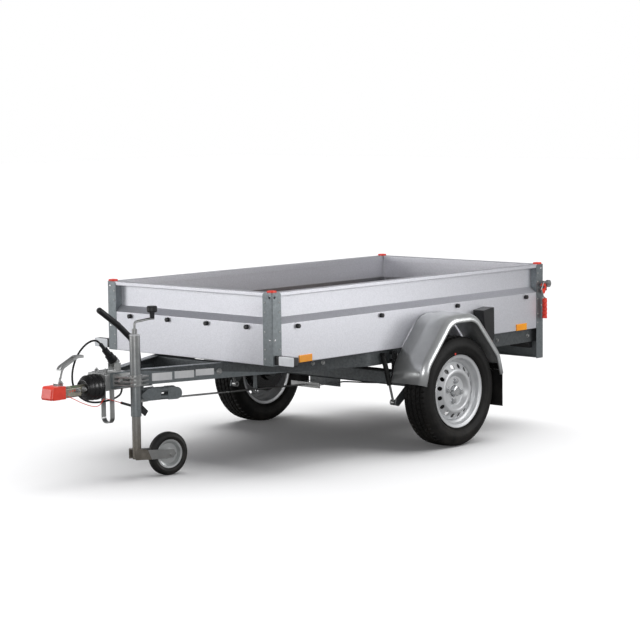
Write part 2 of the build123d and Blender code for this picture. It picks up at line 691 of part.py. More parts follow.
def swing_arm():
    """A trailing arm with the stub axle, and the ear that the damper stands on."""
    outer = ARM_INNER + ARM_THICKNESS
    hub = rod((BEAM_HALF_LENGTH, BEAM_BACK, BEAM_HEIGHT), (outer, BEAM_BACK, BEAM_HEIGHT), 38)
    eye = rod((ARM_INNER, WHEEL_BACK, WHEEL_HEIGHT), (outer, WHEEL_BACK, WHEEL_HEIGHT), 30)
    lean = atan2(WHEEL_HEIGHT - BEAM_HEIGHT, WHEEL_BACK - BEAM_BACK)
    side_y, side_z = -sin(lean), cos(lean)
    link = outline(
        (BEAM_BACK + 36 * side_y, BEAM_HEIGHT + 36 * side_z),
        (WHEEL_BACK + 28 * side_y, WHEEL_HEIGHT + 28 * side_z),
        (WHEEL_BACK - 28 * side_y, WHEEL_HEIGHT - 28 * side_z),
        (BEAM_BACK - 36 * side_y, BEAM_HEIGHT - 36 * side_z),
    )
    arm = hub + eye + along_x(link, ARM_INNER, outer)
    stub = rod((outer, WHEEL_BACK, WHEEL_HEIGHT), (WHEEL_CENTRE + 22, WHEEL_BACK, WHEEL_HEIGHT), STUB_RADIUS)
    ear_y, ear_z = DAMPER_LOW
    ear = outline((BEAM_BACK + 10, BEAM_HEIGHT - 30), (BEAM_BACK - 30, BEAM_HEIGHT - 5),
                  (ear_y - 8, ear_z + 18), (ear_y - 14, ear_z - 12), (ear_y + 10, ear_z - 18))
    ear = along_x(ear, outer - 8, outer)
    pin = rod((outer - 8, ear_y, ear_z), (DAMPER_SIDE - 13, ear_y, ear_z), 6)
    return arm + stub + ear + pin


def dampers():
    """Telescopic dampers from the rail down to the ears of the swing arms."""
    x = DAMPER_SIDE
    top = (x, *DAMPER_TOP)
    low = (x, *DAMPER_LOW)
    axis = (Vector(*low) - Vector(*top)).normalized()
    middle = Vector(*top) + axis * 160
    tube = rod(top, tuple(middle), DAMPER_RADIUS)
    piston = rod(tuple(middle), low, 6)
    eye = rod((x - 12, *DAMPER_LOW), (x + 12, *DAMPER_LOW), 14)
    bolt = rod((RAIL_SPREAD, *DAMPER_TOP), (x + DAMPER_RADIUS + 4, *DAMPER_TOP), 8)
    body = tube + piston + eye + bolt
    return body - rod((x - 14, *DAMPER_LOW), (x + 14, *DAMPER_LOW), 6 + SEAT_GAP)


def back_plate():
    """The brake's back plate, fixed to the swing arm."""
    arm_outer = ARM_INNER + ARM_THICKNESS
    profile = outline((arm_outer, STUB_RADIUS + SEAT_GAP), (arm_outer, 45), (PLATE_INNER, 52),
                      (PLATE_INNER, DRUM_RADIUS), (PLATE_INNER + 3, DRUM_RADIUS),
                      (PLATE_INNER + 3, STUB_RADIUS + SEAT_GAP))
    return turned_x(profile, WHEEL_BACK, WHEEL_HEIGHT)


def drum():
    """The brake drum and hub in one casting, with the grease cap at its nose."""
    face = WHEEL_CENTRE + WHEEL_OFFSET
    bore = STUB_RADIUS + BEARING_GAP
    stub_end = WHEEL_CENTRE + 22
    profile = outline(
        (DRUM_INNER, 95), (DRUM_INNER, DRUM_RADIUS), (650, DRUM_RADIUS), (662, 82), (face, 74),
        (face, 27), (face + 22, 24), (face + 24, 18), (face + 24, 0), (stub_end + 1, 0),
        (stub_end + 1, bore), (620, bore), (620, 32), (645, 40), (645, 95),
    )
    return turned_x(profile, WHEEL_BACK, WHEEL_HEIGHT)


def rim():
    """A pressed steel wheel: flanges, bead seats, well, and the vented disc."""
    c = WHEEL_CENTRE
    w = RIM_HALF_WIDTH
    t = RIM_SHEET
    line = [
        (c + w, RIM_FLANGE_RADIUS - 3), (c + w - 4, RIM_FLANGE_RADIUS), (c + w - 8, RIM_SEAT_RADIUS),
        (c + 38, RIM_SEAT_RADIUS - 3), (c + 30, RIM_WELL_RADIUS), (c - 8, RIM_WELL_RADIUS),
        (c - 18, RIM_SEAT_RADIUS - 3), (c - w + 8, RIM_SEAT_RADIUS), (c - w + 4, RIM_FLANGE_RADIUS),
        (c - w, RIM_FLANGE_RADIUS - 3),
    ]
    barrel = folded(line, t, [2, 4, 6, 5, 5, 6, 4, 2])
    seat = RIM_WELL_RADIUS - t - DISC_SHEET + DISC_LAP
    disc_line = [
        (c + 12, seat), (c + 24, seat),
        (c + 50, 104), (c + 50, 92), (c + WHEEL_OFFSET, 74), (c + WHEEL_OFFSET, CENTRE_HOLE_RADIUS),
    ]
    disc = folded(disc_line, DISC_SHEET, [6, 8, 8, 6])
    solid = turned_x(barrel, WHEEL_BACK, WHEEL_HEIGHT)
    plate = turned_x(disc, WHEEL_BACK, WHEEL_HEIGHT)
    for k in range(VENT_COUNT):
        turn = 2 * pi * (k + 0.5) / VENT_COUNT
        y = WHEEL_BACK + VENT_CIRCLE * cos(turn)
        z = WHEEL_HEIGHT + VENT_CIRCLE * sin(turn)
        plate -= rod((c + 20, y, z), (c + 60, y, z), VENT_RADIUS)
    return solid + plate


def tyre():
    """The tyre, hollow inside, seated on the rim's beads."""
    c = WHEEL_CENTRE
    r = TYRE_DIAMETER / 2
    half = TYRE_WIDTH / 2
    bead = RIM_SEAT_RADIUS + SEAT_GAP
    bead_out = RIM_HALF_WIDTH - 8 - RIM_SHEET - 1
    tread = 58.0

    def side(sign, grow):
        return [
            (c + sign * (bead_out - grow * 0.9), bead),
            (c + sign * (bead_out - grow + 1), RIM_FLANGE_RADIUS + 4),
            (c + sign * (half - grow), 224 - grow * 0.5),
            (c + sign * (half - 6 - grow * 0.8), 252 - grow),
            (c + sign * tread, r - 3.5 - grow),
        ]

    outer = side(1, 0) + [(c, r)] + side(-1, 0)[::-1]
    inner = side(-1, TYRE_WALL) + [(c, r - TYRE_WALL)] + side(1, TYRE_WALL)[::-1]
    return turned_x(outline(*outer, *inner), WHEEL_BACK, WHEEL_HEIGHT)


# Mudguards

def guard_path(sink):
    """The arch of the mudguard seen from the side, a little below its skin when sunk."""
    points = [
        (-GUARD_END, GUARD_END_HEIGHT), (-GUARD_SHOULDER, GUARD_SHOULDER_HEIGHT),
        (-GUARD_HALF_TOP, GUARD_TOP), (GUARD_HALF_TOP, GUARD_TOP),
        (GUARD_SHOULDER, GUARD_SHOULDER_HEIGHT), (GUARD_END, GUARD_END_HEIGHT),
    ]
    return FilletPolyline(*[(GUARD_OUTER - sink, WHEEL_BACK + y, z) for y, z in points],
                          radius=GUARD_RADIUS)


def mudguard():
    """Pressed sheet drawn along the arch, its outer edge turned down and beaded."""
    path = guard_path(0)
    start = Plane(origin=path @ 0, x_dir=(1, 0, 0), z_dir=path % 0)
    line = [
        (GUARD_INNER - GUARD_OUTER, 0), (0, 0), (0, -GUARD_DROP), (-GUARD_LIP, -GUARD_DROP),
    ]
    section = folded(line[::-1], GUARD_SHEET, [4, GUARD_EDGE_RADIUS])
    if start.y_dir.Y > 0:
        section = mirror(section, about=Plane.XZ)
    return sweep(start * section, path=path)


# Coupling and overrun device

def overrun_housing():
    """A pressed channel over the guide tube of the draw shaft, with the loop that it rests on."""
    w = HEAD_HALF_WIDTH
    inner = w - HEAD_SHEET
    line = [(w, HEAD_BOTTOM), (w, HEAD_TOP), (-w, HEAD_TOP), (-w, HEAD_BOTTOM)]
    body = along_y(folded(line, HEAD_SHEET, 9), -HEAD_FRONT, -HEAD_STEP)
    for y in (-HEAD_FRONT, -HEAD_STEP - HEAD_SHEET):
        body += block(-inner, inner, y, y + HEAD_SHEET, HEAD_BOTTOM, HEAD_TOP - 1)
    tube = NECK_TUBE_RADIUS
    body += rod((0, -HEAD_FRONT, SHAFT_HEIGHT), (0, -HEAD_BACK, SHAFT_HEIGHT), tube)
    spine = outline((-HEAD_STEP - 8, HEAD_TOP - 12), (-HEAD_BACK - 60, SHAFT_HEIGHT + tube + 8),
                    (-HEAD_BACK, SHAFT_HEIGHT + tube - 6), (-HEAD_STEP - 8, SHAFT_HEIGHT + tube - 6))
    body += along_x(spine, -4, 4)
    shelf = block(tube - 6, inner + 1, -HEAD_STEP - 26, -HEAD_STEP - 1, CABLE_SHELF, CABLE_SHELF + 4)
    grommet = rod((*SUPPLY_ROUTE[-1][:2], CABLE_SHELF - 8), (*SUPPLY_ROUTE[-1][:2], CABLE_SHELF + 1), 9)
    eye_x, eye_y, eye_z = GUIDE_EYE
    eye = block(eye_x - 8, eye_x + 8, eye_y - 1.5, eye_y + 1.5, eye_z - 8, HEAD_BOTTOM + 8)
    eye -= rod((eye_x, eye_y - 3, eye_z), (eye_x, eye_y + 3, eye_z), BREAKAWAY_CABLE / 2 + 3.5)
    body += shelf + grommet + eye
    return body - rod((0, -HEAD_FRONT - 1, SHAFT_HEIGHT), (0, 1 - HEAD_BACK, SHAFT_HEIGHT),
                      SHAFT_RADIUS + SEAT_GAP)


def plug_holder():
    """A zinc bracket on the housing in which the plug is parked."""
    inner = PLUG_RADIUS + SEAT_GAP
    outer = PLUG_RADIUS + 4
    y0 = PLUG_LOW[1] - 26
    y1 = PLUG_LOW[1] + 10
    foot = block(-outer, outer, y0, y1, HEAD_TOP, HEAD_TOP + 3)
    foot += block(inner, outer, y0, y1, HEAD_TOP, PLUG_LOW[2] + 6)
    foot += block(-outer, -inner, y0, y1, HEAD_TOP, PLUG_LOW[2] + 6)
    axis = PLUG_AXIS
    low = Vector(*PLUG_LOW)
    ring = rod(tuple(low + axis * 4), tuple(low + axis * 22), outer)
    return foot + ring - rod(tuple(low), tuple(low + axis * 30), inner)


def coupling_form(grow):
    """The outside of the pressed coupling: a dome over the ball and a neck back to the shaft."""
    top = BALL_HEIGHT
    dome = Pos(0, -BALL_FRONT, top) * Sphere(DOME_RADIUS + grow)
    skirt = rod((0, -BALL_FRONT, SOCKET_LOW - grow), (0, -BALL_FRONT, top), DOME_RADIUS + grow)
    dome -= block(-99, 99, -BALL_FRONT - 99, -BALL_FRONT + 99, 0, top)
    neck = block(-COUPLING_HALF - grow, COUPLING_HALF + grow, -BALL_FRONT, -COUPLING_BACK,
                 COUPLING_LOW - grow, COUPLING_TOP + grow)
    if not grow:
        neck = fillet(neck.edges().filter_by(Axis.Y), 6)
    return dome + skirt + neck


def coupling_head():
    """The ball coupling, its socket open below, on the front end of the draw shaft."""
    body = coupling_form(0)
    body += rod((0, -SHAFT_FRONT, SHAFT_HEIGHT), (0, -HEAD_BACK, SHAFT_HEIGHT), SHAFT_RADIUS)
    x, y, z = BREAKAWAY_ROUTE[0]
    body += block(COUPLING_HALF - 2, x + 4, y - 8, y, z - 7, z + 7)
    body -= rod(BREAKAWAY_ROUTE[0], BREAKAWAY_ROUTE[1], BREAKAWAY_CABLE / 2 + SEAT_GAP)
    body -= rod((0, -BALL_FRONT, SOCKET_LOW - 1), (0, -BALL_FRONT, BALL_HEIGHT), BALL_RADIUS)
    return body - Pos(0, -BALL_FRONT, BALL_HEIGHT) * Sphere(BALL_RADIUS)


def nose_cap():
    """A soft bumper over the front of the coupling, open below and behind."""
    side = outline(
        (-CAP_BACK, CAP_LOW), (-CAP_FRONT + 4, CAP_LOW), (-CAP_FRONT, CAP_LOW + 8),
        (-CAP_FRONT + 8, CAP_TOP - 8), (-CAP_FRONT + 22, CAP_TOP), (-CAP_BACK, CAP_TOP),
    )
    body = along_x(side, -CAP_HALF, CAP_HALF)
    corners = [e for e in body.edges()
               if e.center().Y < -CAP_FRONT + 14 and abs(e.center().X) > CAP_HALF - 1]
    body = fillet(corners, 14)
    inner = CAP_HALF - CAP_WALL
    below = block(-inner, inner, CAP_WALL + 2 - CAP_FRONT, 1 - CAP_BACK, CAP_LOW - 1, BALL_HEIGHT)
    notch_half = HANDLE_HALF + 1.5
    notch = block(-notch_half, notch_half, HANDLE_FRONT - 3, 1 - CAP_BACK, COUPLING_TOP - 1, CAP_TOP + 1)
    return body - coupling_form(SEAT_GAP) - below - notch


def coupling_handle():
    """The pressed lever over the coupling: a channel with a hand opening, on two cheeks."""
    line = [(HANDLE_FRONT + 9, 458), (HANDLE_FRONT + 32, 526), (HANDLE_FRONT + 118, 566),
            (HANDLE_FRONT + 152, 566)]
    skin = along_x(folded(line, 12, [26, 20]), -HANDLE_HALF, HANDLE_HALF)
    hollow = along_x(folded(line, 9, [26, 20]), 3 - HANDLE_HALF, HANDLE_HALF - 3)
    window = along_x(outline((HANDLE_FRONT + 22, 522), (HANDLE_FRONT + 108, 562), (HANDLE_FRONT + 104, 600),
                             (HANDLE_FRONT, 550)), -8, 8)
    foot = COUPLING_TOP + SEAT_GAP
    cheek = outline((HANDLE_FRONT, foot), (HANDLE_FRONT + 30, foot), (HANDLE_FRONT + 24, 470),
                    (HANDLE_FRONT + 6, 486), (HANDLE_FRONT - 2, 462))
    cheeks = along_x(cheek, -HANDLE_HALF, 3 - HANDLE_HALF) + along_x(cheek, HANDLE_HALF - 3, HANDLE_HALF)
    return skin - hollow - window + cheeks


def bellows():
    """A rubber gaiter round the draw shaft, widening over two lobes to its rear ring."""
    front, back = -BELLOWS_FRONT, -BELLOWS_BACK
    seat = SHAFT_RADIUS + SEAT_GAP
    line = [
        (front, 30), (front, 39), (front + 10, 40), (front + 24, 57), (front + 34, 47),
        (front + 48, 58), (front + 58, 49), (front + 68, 57), (back, 57),
    ]
    skin = turned_y(folded(line, BELLOWS_WALL, [2, 4, 5, 4, 5, 3, 3]), 0, SHAFT_HEIGHT)
    ring = outline((back, seat), (back, 59), (back + 5.7, 59), (back + 5.7, seat))
    collar = outline((front, seat), (front, 31), (front + 8, 31), (front + 8, seat))
    return skin + turned_y(ring, 0, SHAFT_HEIGHT) + turned_y(collar, 0, SHAFT_HEIGHT)


def rest_loop():
    """A strap bent to a U, hung inside the housing, that guards the coupling when it is down."""
    front = STRAP_BACK - STRAP_WIDTH / 2
    back = STRAP_BACK + STRAP_WIDTH / 2
    top = HEAD_TOP - HEAD_SHEET - SEAT_GAP
    half = STRAP_HALF
    line = [(-half, top), (-half, STRAP_LOW), (half, STRAP_LOW), (half, top)]
    return along_y(folded(line, STRAP_SHEET, 28), front, back)


# Handbrake

def handbrake_lever():
    """The flat lever beside the guide tube, its pivot and the long bent hand grip."""
    x0 = LEVER_SIDE
    x1 = LEVER_SIDE + LEVER_THICKNESS
    middle = LEVER_SIDE + LEVER_THICKNESS / 2
    line = [(y - LEVER_WIDTH / 2, z) for y, z in LEVER_LINE]
    plate = along_x(folded(line, LEVER_WIDTH, [60, 60, 30]), x0, x1)
    y, z = LEVER_PIVOT
    boss = rod((x0, y, z), (x1, y, z), LEVER_WIDTH / 2 + 8)
    pivot = rod((NECK_TUBE_RADIUS - 8, y, z), (x1 + 8, y, z), 9)
    pivot -= rod((0, -HEAD_STEP, SHAFT_HEIGHT), (0, -HEAD_BACK, SHAFT_HEIGHT), NECK_TUBE_RADIUS + SEAT_GAP)
    points = [(middle, y, z) for y, z in GRIP_LINE]
    path = FilletPolyline(*points, radius=90)
    start = Plane(origin=path @ 0, z_dir=path % 0)
    grip = sweep(start * Circle(GRIP_BAR_RADIUS), path=path)
    return plate + boss + pivot + grip + Pos(*points[0]) * Sphere(GRIP_BAR_RADIUS)


def brake_rod():
    """The pull rod from the lever to the equaliser bar, with the two inner cables behind it."""
    x = LEVER_SIDE + LEVER_THICKNESS / 2
    front = LEVER_PIVOT[0]
    z = BRAKE_ROD_HEIGHT
    yoke = rod((x - 11, front, z), (x + 11, front, z), 6)
    yoke -= block(x - 4 - SEAT_GAP, x + 4 + SEAT_GAP, front - 9, front + 9, z - 9, z + 9)
    for side in (x - 11, x + 6):
        yoke += block(side, side + 5, front - 7, front + 42, z - 6.5, z + 6.5)
    yoke += block(x - 11, x + 11, front + 34, front + 42, z - 6.5, z + 6.5)
    end = (0, EQUALISER_BACK, EQUALISER_HEIGHT)
    made = yoke + rod((x, front + 38, z), end, BRAKE_ROD_RADIUS)
    reach = EQUALISER_HALF + 12
    made += block(-reach, reach, EQUALISER_BACK, EQUALISER_BACK + 6, EQUALISER_HEIGHT - 13,
                  EQUALISER_HEIGHT + 13)
    for side in (-EQUALISER_HALF, EQUALISER_HALF):
        made += rod((side, EQUALISER_BACK + 5, EQUALISER_HEIGHT), (side, CABLE_STOP, EQUALISER_HEIGHT),
                    INNER_CABLE_RADIUS)
    return made


def rod_hanger():
    """The strip under the middle cross member that the brake rod passes through."""
    y = CROSS_PLACES[1]
    share = (EQUALISER_BACK - y) / (EQUALISER_BACK - LEVER_PIVOT[0] - 38)
    x = (LEVER_SIDE + LEVER_THICKNESS / 2) * share
    z = EQUALISER_HEIGHT + (BRAKE_ROD_HEIGHT - EQUALISER_HEIGHT) * share
    strip = block(x - 13, x + 13, y, y + 4, z - 16, RAIL_LOW + RAIL_SHEET + 2)
    return strip - rod((x, y - 1, z), (x, y + 5, z), BRAKE_ROD_RADIUS + 3)


# Jockey wheel

def jockey_tube():
    """The outer tube with its pressed lid."""
    x, y = JOCKEY_SIDE, -JOCKEY_FRONT
    high = JOCKEY_TUBE_HIGH
    outer = JOCKEY_TUBE_RADIUS
    inner = outer - JOCKEY_TUBE_WALL
    bore = SPINDLE_RADIUS + SEAT_GAP
    profile = outline(
        (inner, JOCKEY_TUBE_LOW), (outer, JOCKEY_TUBE_LOW), (outer, high), (outer + 1, high),
        (outer + 1, high + 4), (12, high + 8), (bore, high + 8), (bore, high - 8), (inner, high - 8),
    )
    return turned_z(profile, x, y)


def jockey_crank():
    """The spindle, the cranked rod that turns it, and the knob on its end."""
    x, y = JOCKEY_SIDE, -JOCKEY_FRONT
    neck_low = JOCKEY_TUBE_HIGH + 8
    spindle = rod((x, y, JOCKEY_TUBE_LOW + 20), (x, y, neck_low + 24), SPINDLE_RADIUS)
    neck = rod((x, y, neck_low), (x, y, neck_low + 22), 12)
    route = [(x, y, neck_low + 20), (x, y, CRANK_TOP), (x, y + CRANK_REACH, CRANK_TOP + 8)]
    path = FilletPolyline(*route, radius=14)
    start = Plane(origin=path @ 0, z_dir=path % 0)
    crank = sweep(start * Circle(CRANK_RADIUS), path=path)
    knob_profile = outline((0, -6), (10, -6), (12, 26), (22, 28), (24, 34), (24, 52), (20, 56), (0, 56))
    crank_knob = Pos(x, y + CRANK_REACH, CRANK_TOP + 8) * turned_z(knob_profile, 0, 0)
    return spindle + neck + crank + crank_knob


def jockey_clamp():
    """Two stacked jaws and a carrier plate that hold the tube beside the left arm."""
    x, y = JOCKEY_SIDE, -JOCKEY_FRONT
    room = JOCKEY_TUBE_RADIUS + SEAT_GAP
    web = RAIL_LINE[0][0]
    made = block(web, web + 6, -530, -395, 424, 480)
    for low in (428, 446, 464):
        jaw = outline((web + 4, -525), (x - 6, -505), (x + 30, -500), (x + 36, -462), (x + 22, -400),
                      (web + 4, -398))
        made += upright(jaw, low, low + 7)
    made += rod((x, y, 428), (x, y, 478), room + 7)
    made -= rod((x, y, 400), (x, y, 500), room)
    return made - rail_envelope() - rail()


def rail_envelope():
    """The room that the left rail and what is inside it take up."""
    return plan_strip(RAIL_LINE[:3], HEAD_RAIL_RADIUS, 3 * RAIL_FLANGE, RAIL_LOW - 60, DECK_HEIGHT + 20)


def jockey_nut():
    """The nut that travels on the spindle and carries the inner tube."""
    x, y = JOCKEY_SIDE, -JOCKEY_FRONT
    outer = JOCKEY_TUBE_RADIUS - JOCKEY_TUBE_WALL - JOCKEY_SLIDE_GAP
    bore = SPINDLE_RADIUS + JOCKEY_SLIDE_GAP
    profile = outline((bore, JOCKEY_INNER_HIGH), (outer, JOCKEY_INNER_HIGH), (outer, JOCKEY_INNER_HIGH + 22),
                      (bore, JOCKEY_INNER_HIGH + 22))
    return turned_z(profile, x, y)


def swivelled(shape):
    """Turn a piece drawn with its trail along Y about the inner tube, as it stands."""
    return Pos(JOCKEY_SIDE, -JOCKEY_FRONT, 0) * Rot(0, 0, -JOCKEY_TURN) * shape


def jockey_fork():
    """The inner tube with the two cheeks welded to its foot, and the wheel's axle."""
    body = rod((0, 0, JOCKEY_INNER_LOW), (0, 0, JOCKEY_INNER_HIGH - SEAT_GAP), JOCKEY_INNER_RADIUS)
    half = JOCKEY_WHEEL_WIDTH / 2 + 4
    cheek = outline((-24, 92), (-24, 138), (10, 138), (40, 132), (JOCKEY_TRAIL + 16, 122),
                    (JOCKEY_TRAIL + 22, 104), (JOCKEY_TRAIL + 12, 84), (60, 86))
    body += along_x(cheek, half, half + 4) + along_x(cheek, -half - 4, -half)
    body += block(-half - 1, half + 1, -24, 24, 96, 100)
    body += block(-half - 1, half + 1, -24, 24, 134, 138)
    hollow = JOCKEY_INNER_RADIUS - 3
    body -= rod((0, 0, JOCKEY_INNER_LOW - 1), (0, 0, JOCKEY_INNER_HIGH + 1), hollow)
    body += rod((-half - 12, JOCKEY_TRAIL, JOCKEY_WHEEL_RADIUS), (half + 12, JOCKEY_TRAIL, JOCKEY_WHEEL_RADIUS), 7)
    return swivelled(body)


def jockey_rim():
    """The small pressed rim with its hub."""
    half = JOCKEY_WHEEL_WIDTH / 2
    bore = 7 + BEARING_GAP
    profile = outline(
        (-half, bore), (-half, 16), (-12, 17), (-6, 26), (-6, 48), (-18, 58), (-19, 66), (-16, 67), (-8, 62),
        (8, 62), (16, 67), (19, 66), (18, 58), (2, 48), (2, 26), (8, 17), (half, 16), (half, bore),
    )
    return swivelled(turned_x(profile, JOCKEY_TRAIL, JOCKEY_WHEEL_RADIUS))


def jockey_tyre():
    profile = outline(
        (-16, 67.4), (-20, 68), (-24, 80), (-20, 93), (-9, 100), (9, 100), (20, 93), (24, 80), (20, 68),
        (16, 67.4), (8, 62.4), (-8, 62.4),
    )
    return swivelled(turned_x(profile, JOCKEY_TRAIL, JOCKEY_WHEEL_RADIUS))


# Small fittings

def wheel_chock():
    """A folding chock: two plates, four lengthwise tubes and round end cheeks, under the left arm."""
    high = RAIL_LOW - rail_drop(CHOCK_BACK - CHOCK_LENGTH) - SEAT_GAP
    top = high - 16
    low = top - 57
    front, back = -CHOCK_LENGTH, 0.0
    nose = outline((front, top - 28), (front + 32, top - 2), (front + 78, top + 2), (front + 100, top - 20),
                   (front + 92, low + 2), (front + 16, low))
    tail_y = back - 30
    tail = make_face(Wire([
        Line((back - 68, top), (tail_y, top)),
        ThreePointArc((tail_y, top), (back, (top + low) / 2), (tail_y, low)),
        Line((tail_y, low), (back - 68, low)),
        Line((back - 68, low), (back - 68, top)),
    ]))
    made = rod((-30, tail_y, (top + low) / 2), (30, tail_y, (top + low) / 2), 9)
    made += rod((-30, front + 45, (top + low) / 2), (30, front + 45, (top + low) / 2), 9)
    for x0 in (-30, 27):
        made += along_x(nose, x0, x0 + 3) + along_x(tail, x0, x0 + 3)
    for x in (-18, 18):
        for z in (top - 12, low + 12):
            made += rod((x, front + 60, z), (x, tail_y, z), 11)
    made += block(-20, 20, front + 12, front + 100, top - 8, top - 4)
    made += block(-20, 20, front + 12, front + 16, top - 8, high)
    made += block(-20, 20, front + 12, front + 60, high - 4, high)
    return Pos(rail_x(CHOCK_BACK) - 15, CHOCK_BACK, 0) * Rot(0, 0, -rail_lean()) * made


def rail_lean():
    """The angle of the drawbar arm from the trailer's length, in degrees."""
    (x0, y0), (x1, y1) = RAIL_LINE[1:3]
    return degrees(atan2(x1 - x0, y1 - y0))


def marker_lamps():
    """Front marker lamps: a rubber foot on the post and the lamp beyond it."""
    edge = BOX_WIDTH / 2
    base = block(edge, edge + 24, 14, 44, DECK_HEIGHT + 5, DECK_HEIGHT + 48)
    base = fillet(base.edges().filter_by(Axis.X), 5)
    lens = block(edge + 24 + SEAT_GAP, edge + 118, 12, 46, DECK_HEIGHT + 5, DECK_HEIGHT + 47)
    lens = fillet(lens.edges().filter_by(Axis.Y), 6)
    lens = fillet(lens.faces().sort_by(Axis.Y)[0].edges(), 3)
    return both_sides(Compound([base, lens]))


def side_reflectors():
    made = []
    for y in REFLECTORS:
        plate = block(X_OUT, X_OUT + 6, y - 43, y + 43, DECK_HEIGHT + 1, DECK_HEIGHT + 35)
        made.append(fillet(plate.faces().sort_by(Axis.X)[-1].edges(), 2))
    return both_sides(Compound(made))


def guard_point(along, inward):
    """A place on the straight end of the mudguard's arch: along it from its end, and inside it."""
    run = hypot(GUARD_END - GUARD_SHOULDER, GUARD_SHOULDER_HEIGHT - GUARD_END_HEIGHT)
    step_y = (GUARD_END - GUARD_SHOULDER) / run
    step_z = (GUARD_SHOULDER_HEIGHT - GUARD_END_HEIGHT) / run
    return (-GUARD_END + along * step_y + inward * step_z, GUARD_END_HEIGHT + along * step_z - inward * step_y)


def guard_stays():
    """Strips from the rail that carry the mudguard's two ends."""
    near = GUARD_SHEET + SEAT_GAP
    far = near + STAY_SHEET
    shelf = outline(guard_point(12, near), guard_point(44, near), guard_point(44, far), guard_point(12, far))
    strip = outline((-276, DECK_HEIGHT - 8), (-312, DECK_HEIGHT - 8), guard_point(36, near), guard_point(0, near),
                    guard_point(2, near + 30))
    x0 = STAY_SIDE
    x1 = STAY_SIDE + STAY_SHEET
    stay = along_x(shelf, x0, GUARD_OUTER - 25) + along_x(strip, x0, x1)
    for z in (DECK_HEIGHT - 20, DECK_HEIGHT - 56):
        stay += rod((RAIL_SPREAD, -294, z), (x1 + 4, -294, z), 7)
    return Pos(0, WHEEL_BACK, 0) * Compound([stay, mirror(stay, about=Plane.XZ)])


def mudflaps():
    face = WHEEL_BACK + GUARD_END - 6
    return block(GUARD_INNER + 20, GUARD_OUTER - 16, face - 4, face, 166, GUARD_END_HEIGHT + 8)


def guard_wedges():
    """The moulded wedge between the wall and the rear slope of the mudguard."""
    profile = outline((1468, 640), (1556, 652), (1558, 492), (1524, 470), (1492, 500))
    body = along_x(profile, X_OUT + SEAT_GAP, X_OUT + 66)
    return fillet(body.edges().filter_by(Axis.X), 5)


def plug():
    """The connector, leaning forwards from its holder, with its gland at the upper end."""
    low = Vector(*PLUG_LOW)
    axis = PLUG_AXIS
    body = rod(tuple(low), tuple(low + axis * 60), PLUG_RADIUS)
    body += rod(tuple(low + axis * 26), tuple(low + axis * 34), PLUG_RADIUS + 3)
    body += rod(tuple(low + axis * 60), tuple(low + axis * 96), 15)
    return body + rod(tuple(low + axis * 96), tuple(low + axis * PLUG_LENGTH), 9)


def brake_cable():
    """The left brake cable, from its stop under the axle to the back plate."""
    route = [
        (EQUALISER_HALF, CABLE_STOP + 4, EQUALISER_HEIGHT), (EQUALISER_HALF, 1006, EQUALISER_HEIGHT), (108, 1050, 280),
        (160, 1080, 278), (225, 1092, 281), (300, 1094, 288), (375, 1094, 298), (440, 1098, 313),
        (490, 1106, 331), (540, 1114, 345), (PLATE_INNER, 1114, 345),
    ]
    return tube_route(route, BRAKE_CABLE)


def supply_cord():
    return tube_route(SUPPLY_ROUTE, SUPPLY_CABLE)


def breakaway_cord():
    return tube_route(BREAKAWAY_ROUTE, BREAKAWAY_CABLE)


def breakaway_clip():
    """The clip that joins the breakaway cable to the handbrake lever's tail."""
    end = Vector(*BREAKAWAY_ROUTE[-1])
    low = Vector(LEVER_SIDE + LEVER_THICKNESS + 6, LEVER_PIVOT[0] + 2, 300)
    body = rod(tuple(end), tuple(end + (low - end) * 0.55), 6)
    body += rod(tuple(end + (low - end) * 0.5), tuple(low), 3.5)
    body += rod((LEVER_SIDE + LEVER_THICKNESS + SEAT_GAP, low.Y, low.Z), (low.X + 4, low.Y, low.Z), 6)
    return body - rod(BREAKAWAY_ROUTE[-1], BREAKAWAY_ROUTE[-2], BREAKAWAY_CABLE / 2 + SEAT_GAP)


